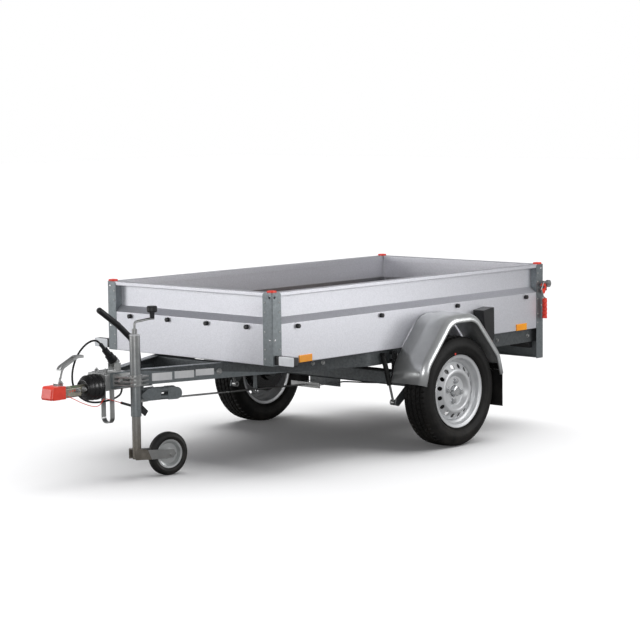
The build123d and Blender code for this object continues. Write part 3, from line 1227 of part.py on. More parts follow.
PARTS = {
    "side_walls": lambda: both_sides(side_wall()),
    "front_wall": front_wall,
    "load_floor": floor,
    "corner_posts": lambda: both_sides(Compound([front_post(), rear_post() + post_pin()])),
    "post_caps": post_caps,
    "tarp_knobs": lambda: Compound(list(both_sides(side_knobs()).solids()) + list(front_knobs().solids())),
    "tailgate_panel": tailgate,
    "tailgate_hinges": hinge_leaves,
    "tailgate_knobs": tailgate_knobs,
    "latch_brackets": lambda: both_sides(latch_plate()),
    "latch_catches": lambda: both_sides(latch_catch()),
    "latch_levers": lambda: both_sides(latch_lever()),
    "latch_grips": lambda: both_sides(latch_grip()),
    "lamp_panel": lambda: rear_skirt() + hinge_lugs(),
    "rear_lamps": rear_lamps,
    "frame_rails": lambda: both_sides(rail()),
    "cross_members": cross_members,
    "axle_beam": axle_beam,
    "swing_arms": lambda: both_sides(swing_arm()),
    "dampers": lambda: both_sides(dampers()),
    "brake_plates": lambda: both_sides(back_plate()),
    "drum_left": drum,
    "drum_right": lambda: other_side(drum()),
    "rim_left": rim,
    "rim_right": lambda: Pos(0, 2 * WHEEL_BACK, 0) * Rot(0, 0, 180) * rim(),
    "tyre_left": tyre,
    "tyre_right": lambda: other_side(tyre()),
    "mudguards": lambda: both_sides(mudguard()),
    "guard_stays": lambda: both_sides(guard_stays()),
    "mudflaps": lambda: both_sides(mudflaps()),
    "guard_wedges": lambda: both_sides(guard_wedges()),
    "marker_lamps": marker_lamps,
    "side_reflectors": side_reflectors,
    "overrun_housing": lambda: overrun_housing() + plug_holder(),
    "coupling_head": coupling_head,
    "nose_cap": nose_cap,
    "coupling_handle": coupling_handle,
    "bellows": bellows,
    "rest_loop": rest_loop,
    "handbrake_lever": handbrake_lever,
    "brake_rod": brake_rod,
    "brake_cables": lambda: both_sides(brake_cable()),
    "jockey_clamp": jockey_clamp,
    "jockey_tube": jockey_tube,
    "jockey_crank": jockey_crank,
    "jockey_nut": jockey_nut,
    "jockey_fork": jockey_fork,
    "jockey_rim": jockey_rim,
    "jockey_tyre": jockey_tyre,
    "wheel_chock": wheel_chock,
    "supply_plug": plug,
    "supply_cord": supply_cord,
    "breakaway_cord": breakaway_cord,
    "breakaway_clip": breakaway_clip,
}


def overall_middle(shapes):
    """The middle of the whole trailer's length."""
    low = min(shape.bounding_box().min.Y for shape in shapes.values())
    high = max(shape.bounding_box().max.Y for shape in shapes.values())
    return (low + high) / 2


os.makedirs("parts", exist_ok=True)
made = {name: make() for name, make in PARTS.items()}
shift = -overall_middle(made)
print("shift along Y", round(shift, 3), "pieces", len(made))
for name, shape in made.items():
    solids = shape.solids()
    low = shape.bounding_box().min
    high = shape.bounding_box().max
    print(f"{name:16s} solids {len(solids)}", [round(v, 1) for v in (low.X, high.X, low.Y, high.Y, low.Z, high.Z)])
    moved = Pos(0, shift, 0) * Compound(list(solids))
    export_step(moved if len(solids) > 1 else moved.solids()[0], f"parts/{name}.step")
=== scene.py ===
# %% [markdown]
# The frame
# The imported CAD model is the frame: its pieces have their real sizes and places, and nothing in it
# is moved. This scene gives them materials, adds the small pieces that the CAD leaves out, and sets
# the light, the floor and the camera. All of it could be modelled anew in Blender, but then the
# joints of the CAD would no longer speak for what the render shows.

# %% Load the frame
"""Utility trailer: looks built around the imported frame."""
import json
import math

import bmesh
import bpy
from mathutils import Matrix, Vector
from mathutils.bvhtree import BVHTree

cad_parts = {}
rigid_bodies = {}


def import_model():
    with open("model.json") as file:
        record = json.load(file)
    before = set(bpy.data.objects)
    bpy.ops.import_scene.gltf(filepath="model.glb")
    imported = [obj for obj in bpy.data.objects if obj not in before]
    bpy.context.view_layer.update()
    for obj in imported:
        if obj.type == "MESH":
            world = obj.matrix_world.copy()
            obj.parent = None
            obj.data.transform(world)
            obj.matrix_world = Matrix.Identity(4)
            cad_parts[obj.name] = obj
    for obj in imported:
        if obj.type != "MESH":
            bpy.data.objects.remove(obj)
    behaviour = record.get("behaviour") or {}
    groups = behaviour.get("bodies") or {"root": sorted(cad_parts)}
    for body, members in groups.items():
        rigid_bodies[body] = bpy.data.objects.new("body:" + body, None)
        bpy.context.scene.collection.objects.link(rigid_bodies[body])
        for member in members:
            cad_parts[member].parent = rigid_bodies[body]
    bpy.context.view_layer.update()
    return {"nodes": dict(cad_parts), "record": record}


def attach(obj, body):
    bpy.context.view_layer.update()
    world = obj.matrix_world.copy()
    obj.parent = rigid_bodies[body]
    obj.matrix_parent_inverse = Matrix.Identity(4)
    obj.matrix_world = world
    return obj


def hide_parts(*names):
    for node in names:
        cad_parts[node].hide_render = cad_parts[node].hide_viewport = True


for old in list(bpy.data.objects):
    bpy.data.objects.remove(old)
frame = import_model()
for plain in list(bpy.data.materials):
    bpy.data.materials.remove(plain)
NODES = frame["nodes"]

# %% [markdown]
# Places
# The CAD source counts in millimetres from the outer face of the front wall, and moves the whole
# trailer by SHIFT along Y at the end. Places that it gives could be copied here in metres one by
# one, but `built` turns them over, so that the two files can be read side by side. +X is the
# trailer's left and +Y its rear. A length that isn't given to `built` is in metres.

# %% Driving values
SHIFT = -0.61425
AXLE_BACK = 1147.6
AXLE_HEIGHT = 273.5
WHEEL_SIDE = 658


def built(x, y, z):
    """A place of the CAD source, in millimetres, as a place of the frame in metres."""
    return Vector((x / 1000, y / 1000 + SHIFT, z / 1000))


WHEEL = built(WHEEL_SIDE, AXLE_BACK, AXLE_HEIGHT)
TYRE_RADIUS = AXLE_HEIGHT / 1000
SIDES = (("left", 1), ("right", -1))
print("left wheel's centre", [round(v, 4) for v in WHEEL])

# %% [markdown]
# Pieces
# A piece is an object that holds a mesh. Blender's own primitives could be added and scaled, but
# here points and faces are written straight into the mesh, by lists or by bmesh. The object then
# stays at the origin, unturned and unscaled, as the frame's own pieces do.

# %% Make a piece
def link(obj):
    bpy.context.scene.collection.objects.link(obj)
    return obj


def mesh_piece(name, points, faces):
    mesh = bpy.data.meshes.new(name)
    mesh.from_pydata([tuple(p) for p in points], [], faces)
    mesh.update()
    return link(bpy.data.objects.new(name, mesh))


def from_bmesh(name, bm, smooth=False):
    bmesh.ops.recalc_face_normals(bm, faces=bm.faces)
    mesh = bpy.data.meshes.new(name)
    bm.to_mesh(mesh)
    bm.free()
    if smooth:
        for polygon in mesh.polygons:
            polygon.use_smooth = True
    return link(bpy.data.objects.new(name, mesh))


def face_outward(piece):
    """Turn a closed piece's faces the right way round."""
    bm = bmesh.new()
    bm.from_mesh(piece.data)
    bmesh.ops.recalc_face_normals(bm, faces=bm.faces)
    bm.to_mesh(piece.data)
    bm.free()


# %% [markdown]
# Shader groups
# Zinc crystals, cloudy plating and road dust come back in many of the materials. Their nodes could
# be laid out again in each one, but a group is built once and placed with its own values. The
# groups work in object coordinates, so a pattern has its real scale on every piece. They give out
# only values, because the shader itself stays in the material.

# %% Node helpers
def new_group(name, inputs, outputs):
    group = bpy.data.node_groups.new(name, "ShaderNodeTree")
    for label, kind, value in inputs:
        socket = group.interface.new_socket(label, in_out="INPUT", socket_type=kind)
        socket.default_value = value
    for label, kind in outputs:
        group.interface.new_socket(label, in_out="OUTPUT", socket_type=kind)
    return group, group.nodes.new("NodeGroupInput"), group.nodes.new("NodeGroupOutput")


def texture(tree, kind, **values):
    node = tree.nodes.new(kind)
    for key, value in values.items():
        if key in node.inputs:
            node.inputs[key].default_value = value
        else:
            setattr(node, key, value)
    return node


def remap(tree, source, low, high, to_low, to_high):
    node = tree.nodes.new("ShaderNodeMapRange")
    node.inputs["From Min"].default_value = low
    node.inputs["From Max"].default_value = high
    node.inputs["To Min"].default_value = to_low
    node.inputs["To Max"].default_value = to_high
    tree.links.new(source, node.inputs["Value"])
    return node.outputs["Result"]


def math_node(tree, operation, a, b):
    node = tree.nodes.new("ShaderNodeMath")
    node.operation = operation
    for socket, value in zip(node.inputs, (a, b)):
        if isinstance(value, (int, float)):
            socket.default_value = value
        else:
            tree.links.new(value, socket)
    return node.outputs[0]


# %% [markdown]
# Spangle
# Hot-dip zinc freezes in flat crystals some millimetres across, and each mirrors a little
# differently. An image could show them, but the cells of a Voronoi texture are such crystals with
# no file. One noise bends the cells' edges, and a finer one keeps a cell from looking flat.

# %% Zinc crystals
CRYSTAL_BEND = 0.006
CRYSTAL_SHARE = 0.75


def spangle_group():
    group, start, end = new_group("Spangle", [("Scale", "NodeSocketFloat", 90.0)],
                                  [("Tone", "NodeSocketFloat"), ("Edge", "NodeSocketFloat")])
    place = group.nodes.new("ShaderNodeTexCoord")
    warp = texture(group, "ShaderNodeTexNoise", Scale=40.0, Detail=2.0)
    group.links.new(place.outputs["Object"], warp.inputs["Vector"])
    bend = group.nodes.new("ShaderNodeVectorMath")
    bend.operation = "MULTIPLY_ADD"
    bend.inputs[1].default_value = (CRYSTAL_BEND, CRYSTAL_BEND, CRYSTAL_BEND)
    group.links.new(warp.outputs["Color"], bend.inputs[0])
    group.links.new(place.outputs["Object"], bend.inputs[2])
    cells = texture(group, "ShaderNodeTexVoronoi", Randomness=1.0)
    group.links.new(bend.outputs[0], cells.inputs["Vector"])
    group.links.new(start.outputs["Scale"], cells.inputs["Scale"])
    split = group.nodes.new("ShaderNodeSeparateColor")
    group.links.new(cells.outputs["Color"], split.inputs[0])
    fine = texture(group, "ShaderNodeTexNoise", Scale=420.0, Detail=3.0)
    group.links.new(place.outputs["Object"], fine.inputs["Vector"])
    tone = math_node(group, "ADD", math_node(group, "MULTIPLY", split.outputs["Red"], CRYSTAL_SHARE),
                     math_node(group, "MULTIPLY", fine.outputs["Fac"], 1 - CRYSTAL_SHARE))
    group.links.new(tone, end.inputs["Tone"])
    group.links.new(split.outputs["Green"], end.inputs["Edge"])
    return group


SPANGLE = spangle_group()
print("shader group", SPANGLE.name)

# %% [markdown]
# Mottle
# Plating, paint and moulded plastic look even from far off, but near by they have soft clouds of
# tone and small specks where the gloss changes. A painted mask could give that. Two noises do, a
# wide one for the clouds and a fine one for the specks, and they need no seams or unwrapping.

# %% Clouds and specks
def mottle_group():
    group, start, end = new_group("Mottle", [("Scale", "NodeSocketFloat", 9.0)],
                                  [("Cloud", "NodeSocketFloat"), ("Speck", "NodeSocketFloat")])
    place = group.nodes.new("ShaderNodeTexCoord")
    cloud = texture(group, "ShaderNodeTexNoise", Detail=6.0, Roughness=0.62)
    speck = texture(group, "ShaderNodeTexNoise", Scale=260.0, Detail=2.0)
    group.links.new(start.outputs["Scale"], cloud.inputs["Scale"])
    for node in (cloud, speck):
        group.links.new(place.outputs["Object"], node.inputs["Vector"])
    group.links.new(remap(group, cloud.outputs["Fac"], 0.36, 0.64, 0.0, 1.0), end.inputs["Cloud"])
    group.links.new(remap(group, speck.outputs["Fac"], 0.55, 0.72, 0.0, 1.0), end.inputs["Speck"])
    return group


MOTTLE = mottle_group()
print("shader group", MOTTLE.name)

# %% [markdown]
# Dust
# Road dust lies thickest low down, and in patches. It could be painted by hand on each piece. Here
# the height above the floor, broken up by a noise, makes one mask that suits every piece.

# %% Road dust
def dust_group():
    group, start, end = new_group("Dust", [("Height", "NodeSocketFloat", 0.35)],
                                  [("Mask", "NodeSocketFloat")])
    place = group.nodes.new("ShaderNodeTexCoord")
    split = group.nodes.new("ShaderNodeSeparateXYZ")
    group.links.new(place.outputs["Object"], split.inputs[0])
    patch = texture(group, "ShaderNodeTexNoise", Scale=16.0, Detail=7.0, Roughness=0.7)
    group.links.new(place.outputs["Object"], patch.inputs["Vector"])
    ratio = math_node(group, "DIVIDE", split.outputs["Z"], start.outputs["Height"])
    low = remap(group, ratio, 0.0, 1.0, 1.0, 0.0)
    mask = math_node(group, "MULTIPLY", low, remap(group, patch.outputs["Fac"], 0.42, 0.66, 0.0, 1.0))
    group.links.new(mask, end.inputs["Mask"])
    return group


DUST = dust_group()
print("shader group", DUST.name)

# %% [markdown]
# Finishes
# Nearly everything here is zinc of some kind, rubber or plastic. Each could have a node tree of its
# own, but they differ only in values, so one function builds them all: two colours that a group's
# mask mixes, a roughness that changes with the group's second mask, dust where it is asked for, and
# softly rounded edges where light catches a folded sheet.

# %% Build a finish
DUST_COLOUR = (0.22, 0.19, 0.155)
COAT_ROUGHNESS = 0.15
BUMP_DEPTH = 0.0006
EDGE_SAMPLES = 4
LOOKS = {}


def mixed(tree, mask, first, second):
    node = tree.nodes.new("ShaderNodeMix")
    node.data_type = "RGBA"
    for socket, value in ((node.inputs[6], first), (node.inputs[7], second)):
        if isinstance(value, tuple):
            socket.default_value = (*value, 1)
        else:
            tree.links.new(value, socket)
    tree.links.new(mask, node.inputs[0])
    return node.outputs[2]


def finish(name, dark, light, rough, metal=0.0, mask=MOTTLE, scale=9.0, rough_spread=0.12, edge=0.0008,
           dust=0.0, dust_height=0.35, bump=0.0, coat=0.0, shine=0.5):
    made = bpy.data.materials.new(name)
    made.use_nodes = True
    tree = made.node_tree
    shader = tree.nodes["Principled BSDF"]
    shader.inputs["Metallic"].default_value = metal
    shader.inputs["Coat Weight"].default_value = coat
    shader.inputs["Coat Roughness"].default_value = COAT_ROUGHNESS
    shader.inputs["Specular IOR Level"].default_value = shine
    effect = tree.nodes.new("ShaderNodeGroup")
    effect.node_tree = mask
    effect.inputs["Scale"].default_value = scale
    amount = effect.outputs[0]
    colour = mixed(tree, amount, dark, light)
    if dust:
        grime = tree.nodes.new("ShaderNodeGroup")
        grime.node_tree = DUST
        grime.inputs["Height"].default_value = dust_height
        colour = mixed(tree, math_node(tree, "MULTIPLY", grime.outputs[0], dust), colour, DUST_COLOUR)
    tree.links.new(colour, shader.inputs["Base Color"])
    tree.links.new(remap(tree, effect.outputs[1], 0.0, 1.0, rough - rough_spread, rough + rough_spread),
                   shader.inputs["Roughness"])
    normal = None
    if edge:
        bevel = tree.nodes.new("ShaderNodeBevel")
        bevel.samples = EDGE_SAMPLES
        bevel.inputs["Radius"].default_value = edge
        normal = bevel.outputs[0]
    if bump:
        relief = tree.nodes.new("ShaderNodeBump")
        relief.inputs["Strength"].default_value = bump
        relief.inputs["Distance"].default_value = BUMP_DEPTH
        tree.links.new(amount, relief.inputs["Height"])
        if normal:
            tree.links.new(normal, relief.inputs["Normal"])
        normal = relief.outputs[0]
    if normal:
        tree.links.new(normal, shader.inputs["Normal"])
    return made


def add_looks(table):
    for name, row in table.items():
        LOOKS[name] = finish(name, **row)
    print("finishes", ", ".join(table))


# %% [markdown]
# Sheet, post and fitting
# The load box is bright folded sheet, the posts and tubes are greyer hot-dip zinc with larger
# crystals, and small fittings are plated, which leaves no crystals. The mudguards are smooth bright
# sheet. One finish for all would be simpler, but on the trailer they stand side by side and differ.

# %% Zinc of the box
add_looks({
    "wall_sheet": dict(dark=(0.60, 0.605, 0.64), light=(0.685, 0.69, 0.73), rough=0.42, metal=0.68,
                       mask=SPANGLE, scale=190.0, rough_spread=0.05, edge=0.0010),
    "galvanised": dict(dark=(0.185, 0.205, 0.215), light=(0.235, 0.26, 0.27), rough=0.42, metal=0.66,
                       mask=SPANGLE, scale=110.0, rough_spread=0.06, dust=0.35, dust_height=0.5),
    "zinc_plate": dict(dark=(0.34, 0.345, 0.34), light=(0.46, 0.465, 0.46), rough=0.34, metal=0.78,
                       scale=14.0, rough_spread=0.04, dust=0.2, dust_height=0.4),
    "guard_zinc": dict(dark=(0.60, 0.615, 0.615), light=(0.68, 0.695, 0.69), rough=0.33, metal=0.74,
                       scale=5.0, rough_spread=0.03, edge=0.0012),
})

# %% [markdown]
# Wood, plastic and rubber
# These aren't metals, so their colour comes from below the surface. Lamps and reflectors get a thin
# clear coat over their colour. Glass would let the light through, but these lenses are solid, with
# nothing modelled inside to see. Rubber is kept dull by a lower specular level.

# %% Finishes that aren't metal
add_looks({
    "plywood": dict(dark=(0.055, 0.036, 0.026), light=(0.10, 0.065, 0.045), rough=0.38, scale=6.0),
    "red_plastic": dict(dark=(0.70, 0.035, 0.02), light=(0.86, 0.06, 0.03), rough=0.34, scale=8.0,
                        rough_spread=0.05),
    "orange_plastic": dict(dark=(0.90, 0.30, 0.015), light=(1.0, 0.42, 0.02), rough=0.22, scale=8.0,
                           rough_spread=0.05, coat=0.4),
    "black_plastic": dict(dark=(0.010, 0.010, 0.011), light=(0.018, 0.018, 0.019), rough=0.42, scale=12.0),
    "lamp_lens": dict(dark=(0.55, 0.012, 0.008), light=(0.72, 0.02, 0.012), rough=0.15, scale=8.0,
                      rough_spread=0.03, coat=0.6),
    "clear_lens": dict(dark=(0.72, 0.75, 0.78), light=(0.9, 0.92, 0.94), rough=0.12, scale=8.0,
                       rough_spread=0.03, coat=0.6),
    "rubber": dict(dark=(0.006, 0.006, 0.006), light=(0.013, 0.013, 0.013), rough=0.60, scale=15.0,
                   dust=0.1, dust_height=0.45, shine=0.35),
    "tyre": dict(dark=(0.005, 0.005, 0.0045), light=(0.010, 0.0095, 0.009), rough=0.66, scale=18.0,
                 edge=0.0, dust=0.08, dust_height=0.3, shine=0.25),
})

# %% [markdown]
# Paint, casting and older zinc
# The running gear and the drawbar show more kinds of metal: silver wheel paint, rough castings,
# black paint, new and old plating, and the frame's zinc under the box, darkened as painted shade of
# the box above it. The rough ones get a shallow bump. Modelling the grain would cost many faces for
# something that is under 1 mm deep.

# %% Finishes of the running gear
add_looks({
    "rim_paint": dict(dark=(0.60, 0.61, 0.62), light=(0.63, 0.64, 0.65), rough=0.36, metal=0.50,
                      scale=10.0, rough_spread=0.0, coat=0.2),
    "cast": dict(dark=(0.05, 0.05, 0.05), light=(0.12, 0.115, 0.11), rough=0.55, metal=0.6, scale=20.0,
                 bump=0.4),
    "black_paint": dict(dark=(0.006, 0.006, 0.006), light=(0.014, 0.014, 0.014), rough=0.34, metal=0.1,
                        scale=10.0, coat=0.2),
    "bright_zinc": dict(dark=(0.62, 0.63, 0.64), light=(0.74, 0.75, 0.76), rough=0.26, metal=0.85,
                        scale=12.0, rough_spread=0.04),
    # Zinc darkened well below the galvanised tone: painted shade for the frame under the box, with dust on
    # top.
    "zinc_with_painted_shade": dict(dark=(0.075, 0.083, 0.086), light=(0.12, 0.13, 0.135), rough=0.46, metal=0.55,
                      mask=SPANGLE, scale=110.0, rough_spread=0.06, dust=0.3, dust_height=0.5),
    "old_zinc": dict(dark=(0.13, 0.115, 0.095), light=(0.24, 0.22, 0.19), rough=0.45, metal=0.6,
                     scale=18.0),
    "coupling_zinc": dict(dark=(0.24, 0.225, 0.17), light=(0.44, 0.42, 0.35), rough=0.40, metal=0.75,
                          scale=22.0, bump=0.2),
})

# %% [markdown]
# Who wears what
# Every CAD node takes the finish of its slot in the record. Some nodes of one slot look unlike the
# rest of it on the real trailer, and the frame under the box and the brake plates are darkened to
# paint the shade they sit in. They could get a slot each, but the slot says what a thing is made
# of, and that is the same, so they keep it and only wear another finish.

# %% Paint the frame's nodes
SLOT_OF = {row["node"]: row["material_slot"] for row in frame["record"]["subparts"]}
OWN_LOOK = {
    # The brake plates are zinc, but wear black paint as painted shade inside the wheels.
    "mudguards": "guard_zinc", "brake_plates": "black_paint", "drum_left": "black_paint",
    "drum_right": "black_paint", "bellows": "black_paint",
    # The frame under the box wears zinc darkened as painted shade of the box above it.
    "frame_rails": "zinc_with_painted_shade", "cross_members": "zinc_with_painted_shade", "axle_beam": "zinc_with_painted_shade",
    "swing_arms": "zinc_with_painted_shade", "jockey_rim": "guard_zinc",
}
for node, piece in NODES.items():
    key = SLOT_OF[node]
    piece.data.materials.clear()
    piece.data.materials.append(LOOKS[OWN_LOOK.get(node, key)])
print("painted", len(SLOT_OF))

# %% [markdown]
# Two finishes on one node
# A lamp has a black foot, a crank a black knob and a drum a bright hub, though each is one node.
# Splitting the node would change the CAD. Instead the faces whose middle lies in a box of the CAD
# source's places get a second material. A box on the left can also stand for its mirror image.

# %% Paint parts of a node
AREAS = [
    ("lamp foot", "marker_lamps", "black_plastic", (500, 0, 480), (584.2, 60, 560), True),
    ("lamp body", "marker_lamps", "black_plastic", (584, 20, 480), (800, 60, 560), True),
    ("crank knob", "jockey_crank", "black_plastic", (60, -700, 724), (300, -300, 800), False),
    ("tube collar", "jockey_tube", "rim_paint", (100, -500, 640), (180, -420, 700), False),
    ("damper piston", "dampers", "zinc_plate", (500, 700, 200), (600, 900, 330), True),
    ("lamp housing", "rear_lamps", "black_plastic", (300, 2020, 350), (530, 2057.9, 500), True),
    ("tube foot", "jockey_tube", "galvanised", (100, -520, 280), (180, -400, 424), False),
    ("inner tube", "jockey_fork", "old_zinc", (100, -520, 92), (180, -400, 290), False),
    ("left hub", "drum_left", "bright_zinc", (690, 1000, 200), (800, 1300, 350), False),
    ("right hub", "drum_right", "bright_zinc", (690, 1000, 200), (800, 1300, 350), True),
    # The drawbar arms in front of the box keep the lighter zinc; the rails under the box keep the painted
    # shade.
    ("drawbar arms", "frame_rails", "galvanised", (60, -700, 400), (330, -40, 520), True),
]


def repaint(node, key, low, high, mirrored):
    """Give the faces of a node inside a box another finish, and say how many they were."""
    mesh = NODES[node].data
    if key not in [m.name for m in mesh.materials]:
        mesh.materials.append(LOOKS[key])
    index = [m.name for m in mesh.materials].index(key)
    count = 0
    for polygon in mesh.polygons:
        x, y, z = polygon.center
        spot = ((abs(x) if mirrored else x) * 1000, (y - SHIFT) * 1000, z * 1000)
        if all(a <= s <= b for a, s, b in zip(low, spot, high)):
            polygon.material_index = index
            count += 1
    return count


for area, *box in AREAS:
    print("repainted", area, repaint(*box), "faces")

# %% [markdown]
# Tyres
# A road tyre is a hollow ring of rubber: a crowned tread with four grooves, shoulder blocks parted
# by cross slots, ribs with narrow slanted cuts, and a wall that bulges and runs in to the bead. A
# plain ring with a bump texture would do from far off, but its outline would stay smooth. So one
# section is turned about the axle, and the tread is pressed in point by point. The outer size
# stays that of the CAD tyre, which the new one replaces.

# %% Sizes of the tyre
TREAD_HALF = 0.058
TREAD_CROWN = 0.0035
TREAD_CELLS = 56
TREAD_PITCHES = 60
PITCH_STEPS = 8
WALL_LINE = [
    (0.0640, 0.2655), (0.0690, 0.2585), (0.0725, 0.2520), (0.0748, 0.2450),
    (0.0752, 0.2443), (0.0770, 0.2370), (0.0783, 0.2290), (0.0785, 0.2240), (0.0776, 0.2140),
    (0.0768, 0.2130), (0.0750, 0.2030), (0.0715, 0.1950), (0.0660, 0.1885), (0.0600, 0.1862),
    (0.0590, 0.1800), (0.0560, 0.1660),
]
INNER_LINE = [(0.0500, 0.1660), (0.0560, 0.1900), (0.0690, 0.2240), (0.0620, 0.2480)]
INNER_CROWN = (0.0, 0.2640)


def mirrored_line(line):
    return [(-x, r) for x, r in line[::-1]]


def tyre_section():
    """The section's closed line: places across the tyre, each with its radius, and the tread's part."""
    tread = []
    for k in range(TREAD_CELLS + 1):
        x = -TREAD_HALF + 2 * TREAD_HALF * k / TREAD_CELLS
        tread.append((x, TYRE_RADIUS - TREAD_CROWN * (abs(x) / TREAD_HALF) ** 2))
    before = mirrored_line(WALL_LINE)
    line = before + tread + WALL_LINE + INNER_LINE + [INNER_CROWN] + mirrored_line(INNER_LINE)
    return line, range(len(before), len(before) + len(tread))


print("points in the section", len(tyre_section()[0]))

# %% [markdown]
# Tread
# The pattern repeats in equal pitches round the tyre, and its two halves are half a pitch out of
# step. A stamp could be copied round with an array. A rule that says how deep each point lies gives
# one closed mesh with no joins instead.

# %% Press the tread
GROOVES = (0.0145, 0.0390)
GROOVE_HALF = 0.0034
GROOVE_DEPTH = 0.006
SLOT_DEPTH, SLOT_SHARE = 0.8 * GROOVE_DEPTH, 0.25
RIB_CUT, RIB_SHARE, RIB_SLANT = 0.004, 0.14, 30
MIDDLE_CUT, MIDDLE_SHARE, MIDDLE_SLANT = 0.003, 0.13, 25


def pressed(x, turn):
    """How deep the tread is at a place across it and a step round it."""
    side = abs(x)
    if any(abs(side - groove) < GROOVE_HALF for groove in GROOVES):
        return GROOVE_DEPTH
    phase = (turn / PITCH_STEPS + (0.5 if x < 0 else 0.0)) % 1.0
    if side > GROOVES[1]:
        return SLOT_DEPTH if phase < SLOT_SHARE else 0.0
    if side > GROOVES[0]:
        return RIB_CUT if (phase + side * RIB_SLANT) % 1.0 < RIB_SHARE else 0.0
    return MIDDLE_CUT if (phase + x * MIDDLE_SLANT) % 1.0 < MIDDLE_SHARE else 0.0


print("depth at the tyre's middle", pressed(0.0, 0))

# %% [markdown]
# Turning the section
# Spin would turn a profile too, but it can't press the tread on its way round. Here the points of
# every step are written out, and faces join each step to the next, the last to the first.
# Only the wall is smooth shaded, because the tread's blocks have sharp edges.

# %% Turn the tyres
SMOOTH_RADIUS = 0.256


def road_tyre(name, side):
    line, tread = tyre_section()
    steps = TREAD_PITCHES * PITCH_STEPS
    points = []
    for turn in range(steps):
        angle = 2 * math.pi * turn / steps
        for k, (x, r) in enumerate(line):
            r = r - (pressed(x, turn) if k in tread else 0.0)
            points.append((side * WHEEL.x + x, WHEEL.y + r * math.cos(angle), WHEEL.z + r * math.sin(angle)))
    n = len(line)
    faces = []
    for turn in range(steps):
        a, b = turn * n, ((turn + 1) % steps) * n
        for k in range(n):
            m = (k + 1) % n
            faces.append((a + k, b + k, b + m, a + m))
    piece = mesh_piece(name, points, faces)
    piece.data.materials.append(LOOKS["tyre"])
    for polygon in piece.data.polygons:
        reach = math.hypot(polygon.center.y - WHEEL.y, polygon.center.z - WHEEL.z)
        polygon.use_smooth = reach < SMOOTH_RADIUS
    face_outward(piece)
    return piece


for side_name, side in SIDES:
    tyre = road_tyre("road_tyre_" + side_name, side)
    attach(tyre, "wheel_" + side_name)
    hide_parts("tyre_" + side_name)
    print(tyre.name, len(tyre.data.polygons), "faces")

# %% [markdown]
# Mudguards
# A mudguard is one sheet bent to an arch, with its outer edge rolled over in a wide curve that
# ends in a folded bead. The CAD has the same arch with a tighter roll. A bevel on the CAD's mesh
# would change a piece of the frame, so each guard is drawn again, with the same width, height and
# bead, as rings of one section that stand square to the arch.

# %% The arch
GUARD_ARCH = ((-0.328, 0.340), (-0.298, 0.440), (-0.105, 0.656),
              (0.105, 0.656), (0.298, 0.440), (0.328, 0.340))
GUARD_CURVE = 0.140
ARCH_STEP = math.radians(2)


def arch_places():
    """Points along the arch with its corners rounded, each with the direction square to it."""
    places = [Vector(GUARD_ARCH[0])]
    for before, corner, after in zip(GUARD_ARCH, GUARD_ARCH[1:], GUARD_ARCH[2:]):
        corner = Vector(corner)
        back = (Vector(before) - corner).normalized()
        ahead = (Vector(after) - corner).normalized()
        half = back.angle(ahead) / 2
        reach = GUARD_CURVE / math.tan(half)
        centre = corner + (back + ahead).normalized() * (GUARD_CURVE / math.sin(half))
        first, last = corner + back * reach - centre, corner + ahead * reach - centre
        sweep = first.angle_signed(last)
        count = max(3, round(abs(sweep) / ARCH_STEP))
        for k in range(count + 1):
            places.append(centre + Matrix.Rotation(-sweep * k / count, 2) @ first)
    places.append(Vector(GUARD_ARCH[-1]))
    result = []
    for k, place in enumerate(places):
        run = (places[min(k + 1, len(places) - 1)] - places[max(k - 1, 0)]).normalized()
        result.append((place, Vector((run.y, -run.x))))
    return result


print("rings along the arch", len(arch_places()))

# %% [markdown]
# The guard's section
# The sheet runs flat from its inner edge, turns down through the roll and is folded in at the
# bead. The roll is a quarter of a circle, which a formula gives evenly, and the sheet's other face
# lies one thickness below, so that the piece is closed.

# %% The section and its sheet
GUARD_IN, GUARD_OUT = 0.565, 0.760
GUARD_ROLL = 0.032
ROLL_STEPS = 12
ROLL_LEAD = 0.03
SKIRT_LEAN, SKIRT_DROP = 0.0008, 0.0392
BEAD_WIDTH, BEAD_DROP = 0.010, 0.0395
GUARD_SKIN = 0.0015


def guard_section():
    """The sheet's closed line as (across, sunk): its outer face, and back along its inner one."""
    outer = [(GUARD_IN, 0.0), (GUARD_OUT - GUARD_ROLL - ROLL_LEAD, 0.0)]
    for k in range(ROLL_STEPS + 1):
        turn = math.pi / 2 * k / ROLL_STEPS
        outer.append((GUARD_OUT - GUARD_ROLL * (1 - math.sin(turn)), GUARD_ROLL * (1 - math.cos(turn))))
    outer.append((GUARD_OUT - SKIRT_LEAN, SKIRT_DROP))
    outer.append((GUARD_OUT - BEAD_WIDTH, BEAD_DROP))
    inner = []
    for k, (x, sunk) in enumerate(outer):
        before, after = outer[max(k - 1, 0)], outer[min(k + 1, len(outer) - 1)]
        run = Vector((after[0] - before[0], after[1] - before[1])).normalized()
        inner.append((x - run.y * GUARD_SKIN, sunk + run.x * GUARD_SKIN))
    return outer + inner[::-1]


print("points in the guard's section", len(guard_section()))

# %% [markdown]
# Skinning the arch
# A curve with a bevel object could carry the section too. Rings that are placed one by one leave
# every point, the ends and the shading to the script. Quads join the rings and are smooth, and one
# flat face closes each end.

